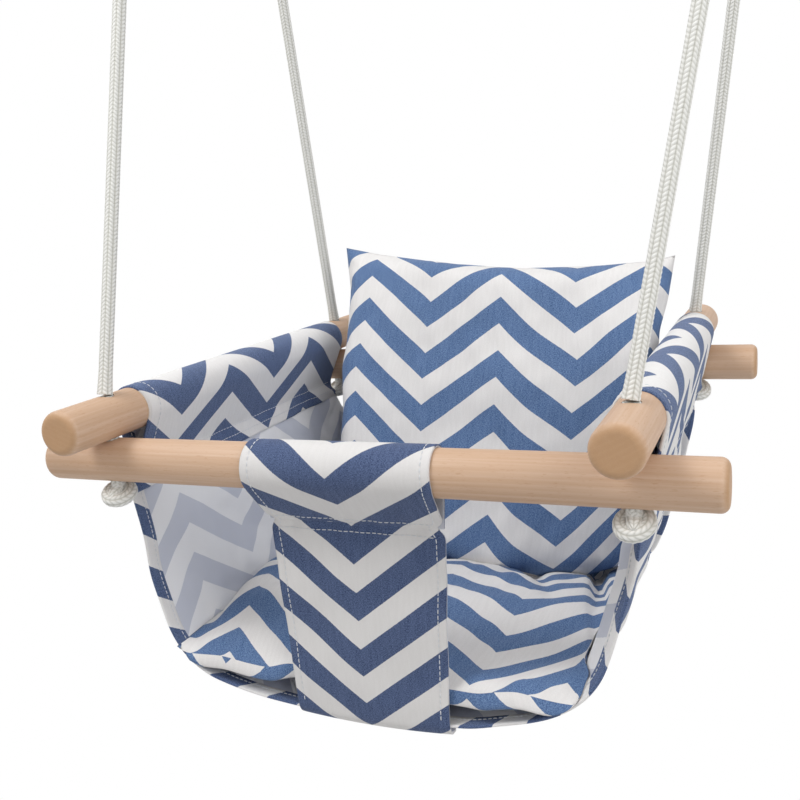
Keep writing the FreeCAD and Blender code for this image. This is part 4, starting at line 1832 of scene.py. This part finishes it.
@dataclass
class SeatCushion:
    """The cushion that the child sits on, sunk in the sling and pressed down behind by the back cushion.

    Its seam is given by four edge curves, and its top by heights on a coarse grid of places. The crease
    runs between two places, and the groove from its x at the middle, slanting by its second number.
    """

    pillow: Pillow = Pillow(290.0, 280.0, 58.0, seed=7)
    front: tuple = ((-154.5, -162.0, -143.5), (-148.0, -162.5, -147.5), (-117.0, -161.0, -146.7),
                    (-99.6, -161.0, -149.5), (-81.0, -160.5, -151.5), (-66.0, -158.5, -147.0),
                    (0.0, -158.0, -149.0), (61.0, -158.5, -150.5), (72.0, -160.0, -150.0),
                    (84.0, -161.0, -146.5), (98.0, -162.0, -143.5), (112.0, -162.0, -146.0),
                    (125.0, -162.0, -147.5), (140.0, -162.0, -147.5))
    rear: tuple = ((-146.0, 118.0, -156.0), (0.0, 116.0, -166.0), (138.0, 118.0, -150.0))
    left: tuple = ((-154.5, -162.0, -143.5), (-152.0, -130.0, -141.0), (-150.0, -96.0, -139.5),
                   (-150.0, -60.0, -139.0), (-149.0, -10.0, -145.0), (-146.0, 118.0, -156.0))
    right: tuple = ((140.0, -162.0, -147.5), (146.0, -147.0, -131.0), (150.0, -120.0, -116.0),
                    (150.0, -90.0, -108.0), (149.0, -60.0, -104.0), (147.0, -28.0, -111.0),
                    (143.0, 30.0, -130.0), (138.0, 118.0, -150.0))
    level_x: tuple = (-115.0, 10.0, 70.0, 112.0)
    level_y: tuple = (-145.0, -100.0, -60.0, -20.0, 20.0, 60.0, 120.0)
    levels: tuple = ((-132.0, -142.0, -143.0, -142.0), (-118.0, -134.0, -137.0, -134.0),
                     (-119.0, -130.0, -125.0, -132.0), (-126.0, -131.0, -130.0, -135.0),
                     (-136.0, -138.0, -144.0, -143.0), (-148.0, -154.0, -158.0, -156.0),
                     (-160.0, -166.0, -166.0, -160.0))
    level_spread: Pair = (42.0, 26.0)
    crease: tuple = ((56.0, 40.0), (92.0, -44.0))
    crease_size: Pair = (8.0, 8.0)
    groove: Pair = (119.0, -0.215)
    groove_size: Pair = (16.0, 5.5)
    belly: float = 16.0
    front_depth: float = 13.0
    print_shift: float = 21.7
    clear: float = 1.2

    def top(self, x: Array, y: Array) -> Array:
        """The height of the top: an average of the given heights, weighted by their nearness.

        Args:
            x, y: places on the cushion.

        Returns:
            The heights.
        """
        place_x, place_y = (part.ravel() for part in np.meshgrid(self.level_x, self.level_y))
        spread_x, spread_y = self.level_spread
        weight = hump(x[:, None], place_x, spread_x) * hump(y[:, None], place_y, spread_y)
        return weight @ np.array(self.levels).ravel() / weight.sum(axis=1)

    def upper(self, form: FilledForm, x: Array, y: Array, z: Array) -> Array:
        """The upper sheet: the given top where the form is full, with lumps, puckers, crease and groove.

        Args:
            form: the filled form.
            x, y, z: its places on the seam's surface.

        Returns:
            The heights.
        """
        fullness = np.abs(form.t) / (0.5 * self.pillow.thickness)
        puff = form.puffed(x, y, lump=(2.0, 90.0), fine=(0.9, 32.0), tuck=(1.0, 4.6)) - form.t
        start, end = (np.array(point) for point in self.crease)
        run = end - start
        share = np.clip(((x - start[0]) * run[0] + (y - start[1]) * run[1]) / (run @ run), 0, 1)
        off = np.hypot(x - start[0] - share * run[0], y - start[1] - share * run[1])
        depth, width = self.crease_size
        crease = depth * (1 - 0.8 * share) * hump(off, 0.0, width)
        depth, width = self.groove_size
        groove = depth * hump(x, self.groove[0] + self.groove[1] * y, width) * fade(y, -130.0, -95.0)
        return z + fade(fullness, 0.0, 0.85) * (self.top(x, y) - z) + puff - crease - groove

    def lower(self, form: FilledForm, level: Array, x: Array, y: Array, z: Array) -> tuple[Array, Array]:
        """The lower sheet: it hangs below the front seam, turns under, and bellies down on the sling.

        Args:
            form: the filled form.
            level: the shares from front to rear along the cloth.
            x, y, z: its places on the seam's surface.

        Returns:
            The new y and the heights.
        """
        passed = level * self.pillow.height
        inside = fade((2 * form.p - 1) ** 2, 1.0, 0.85)
        seam = curve_at(self.front, form.p)[:, 2]
        hung = self.front_depth * (1 - np.exp(-passed / 7.0)) * inside
        down = (hung + self.belly * fade(passed, 14.0, 90.0)) * fade(level, 1.0, 0.85)
        under = z + (seam - z) * (1 - fade(passed, 8.0, 80.0)) * inside - down
        tucked = 3.0 * hump(passed, 7.0, 5.0) * fade(np.abs(x), 62.0, 76.0)
        back = held_above(passed - 14.0, 0.0, 5.0) - tucked
        return np.where(form.side < 0, y + (back - passed) * inside, y), under

    def build(self, canvas: Material, sling: Sling) -> None:
        """Builds the cushion on the sling, and keeps it clear of the cloth.

        Args:
            canvas: the printed cloth.
            sling: what it lies in.
        """
        form = self.pillow.filled()
        level = form.cloth[:, 1] / (MM * self.pillow.height) + 0.5
        q = level + (form.q - level) * np.where(form.side > 0, 0.3, 0.0)
        x, y, z = edge_patch(self.front, self.rear, self.left, self.right, form.p, q).T
        x = -held_above(-x, self.clear + 0.8 - sling.wall(y, z), 1.0)
        top = self.upper(form, x, y, z)
        y, under = self.lower(form, level, x, y, z)
        under = held_above(under, sling.inner_height(x, y) + self.clear, 2.0)
        top = held_above(top, under + 3.0 * fade(form.rim, 0.0, 9.0), 1.0)
        z = np.where(form.side > 0, top, np.where(form.side < 0, under, z))
        x = -held_above(-x, self.clear - sling.wall(y, z), 0.5)
        corners = form.cloth[form.quads.ravel()]
        corners[len(corners) // 2:, 1] += self.print_shift * MM
        piece = make_piece("seat_cushion_pillow", np.stack([x, y, z], 1), form.quads, corners)
        dress(piece, canvas, Body.SEAT)
        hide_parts("seat_cushion_cover", "seat_cushion_filling")


# ---------------- the studio

@dataclass
class Studio:
    """A white room: pale floor, soft key and fill lamps, and the camera.

    Each lamp has a name, a place, a size and a power. The floor is plain white beyond its shadow's reach.
    """

    camera_place: tuple[float, float, float] = (0.25578, -0.67435, -0.24641)
    camera_turn: tuple[float, float, float] = (77.9528, 4.3659, 22.3454)
    lens: float = 42.493
    floor_z: float = -1.6
    floor_radii: tuple[float, ...] = (0.01, 1.0, 40.0)
    shadow_reach: Pair = (0.35, 1.0)
    world_strength: float = 0.55
    lamps: tuple = (("key_lamp", (-0.85, -0.85, 1.2), 0.7, 20.5), ("top_lamp", (0.3, 0.5, 1.5), 1.4, 3.0),
                    ("right_lamp", (1.4, -0.7, 0.4), 1.2, 12.0))

    def build(self) -> None:
        """Builds the camera, the floor, the lamps and the world."""
        scene = bpy.context.scene
        data = bpy.data.cameras.new("camera")
        data.lens, data.sensor_width, data.clip_start = self.lens, 36.0, 0.01
        camera = bpy.data.objects.new("camera", data)
        camera.location = self.camera_place
        camera.rotation_euler = [math.radians(angle) for angle in self.camera_turn]
        scene.collection.objects.link(camera)
        scene.camera = camera
        scene.view_settings.view_transform = "Standard"
        for lamp in self.lamps:
            self.lamp(*lamp)
        self.floor()
        self.world()

    def lamp(self, name: str, place: tuple[float, float, float], size: float, power: float) -> None:
        """One square lamp aimed at the seat.

        Args:
            name: the lamp's name.
            place: where it stands, in metres.
            size: its side.
            power: in watts.
        """
        data = bpy.data.lights.new(name, "AREA")
        data.size, data.energy = size, power
        lamp = bpy.data.objects.new(name, data)
        aim = np.array([0.0, 0.0, LAYOUT.axis_height]) - np.array(place)
        flat = math.hypot(aim[0], aim[1])
        lamp.location = place
        lamp.rotation_euler = (math.atan2(flat, -aim[2]), 0.0, math.atan2(-aim[0], aim[1]))
        bpy.context.scene.collection.objects.link(lamp)

    def floor(self) -> None:
        """A wide pale floor that keeps the shadow near the swing and is plain white further off."""
        ring = np.linspace(0, 2 * math.pi, 64, endpoint=False)
        reach = np.array(self.floor_radii)[:, None]
        x, y, z = np.broadcast_arrays(reach * np.cos(ring), reach * np.sin(ring), self.floor_z)
        points = np.stack([x, y, z], -1)
        quads = np.concatenate([grid_quads(*x.shape, False, True), cap_quads(np.arange(len(ring)))])
        floor = make_piece("studio_floor", points.reshape(-1, 3), quads, in_metres=True)
        material, graph, shader = new_material("floor_paper", 0.9, Specular_IOR_Level=0.1)
        place = graph.node("TexCoord").outputs["Object"]
        flat = graph.node("VectorMath", {0: place, 1: (1.0, 1.0, 0.0)}, operation="MULTIPLY").outputs[0]
        distance = graph.node("VectorMath", {0: flat}, operation="LENGTH").outputs["Value"]
        far = graph.ramp(distance, *self.shadow_reach)
        shader.inputs["Base Color"].default_value = colour(240, 240, 240)
        white = graph.node("Emission", {"Color": (1.0, 1.0, 1.0, 1.0), "Strength": 1.0})
        share = graph.times(graph.seen(), far)
        mixed = graph.node("MixShader", {0: share, 1: shader.outputs[0], 2: white.outputs[0]})
        graph.put(graph.tree.nodes["Material Output"].inputs, {"Surface": mixed.outputs[0]})
        floor.data.materials.append(material)

    def world(self) -> None:
        """White where it is seen, and an even soft light on the swing."""
        world = bpy.data.worlds.new("studio_world")
        bpy.context.scene.world = world
        world.use_nodes = True
        graph = Graph(world.node_tree)
        strength = graph.add(graph.times(graph.seen(), 1.0 - self.world_strength), self.world_strength)
        graph.put(world.node_tree.nodes["Background"].inputs, {"Color": (1.0, 1.0, 1.0, 1.0),
                                                               "Strength": strength})


# ---------------- the whole

def main() -> None:
    """Builds the swing and its studio."""
    logging.basicConfig(level=logging.INFO, format="%(name)s: %(message)s")
    Studio().build()
    RopeSet().build()
    Rails().dress()
    canvas = ZigzagCanvas("sling_canvas", period=0.1365, rise=0.051, pitch=0.048, shift_along=0.803,
                          shift_across=0.273, see_through=0.8).material()
    # The strap's print, with its blues and white darker than the sling's as painted shade on the strap low
    # under the front rail.
    strap_canvas_with_painted_shade = ZigzagCanvas("strap_canvas_with_painted_shade", period=0.136, rise=0.053, pitch=0.051, shift_along=0.037,
                                shift_across=0.077, narrow_from=-0.1186, narrow_by=0.3,
                                blue=colour(53, 69, 105), blue_light=colour(103, 120, 156),
                                blue_dark=colour(31, 45, 80), white=colour(222, 220, 219)).material()
    dye = {"blue": colour(71, 101, 145), "blue_light": colour(122, 149, 188),
           "blue_dark": colour(44, 72, 117)}
    seat_canvas = ZigzagCanvas("seat_cushion_canvas", period=0.116, rise=0.0466, pitch=0.0395,
                               shift_along=0.442, shift_across=0.061, turn=-2.26, **dye).material()
    back_canvas = ZigzagCanvas("back_cushion_canvas", period=0.117, rise=0.048, pitch=0.0406,
                               shift_along=0.386, shift_across=0.0625, turn=-1.6, **dye).material()
    white = SewingThread("white_thread", colour(226, 228, 232)).material()
    sling = Sling()
    sling.build(canvas, white)
    BackPanel().build(canvas, white)
    CrotchStrap().build(strap_canvas_with_painted_shade, white)
    SeatCushion().build(seat_canvas, sling)
    BackCushion().build(back_canvas)


if __name__ == "__main__":
    main()
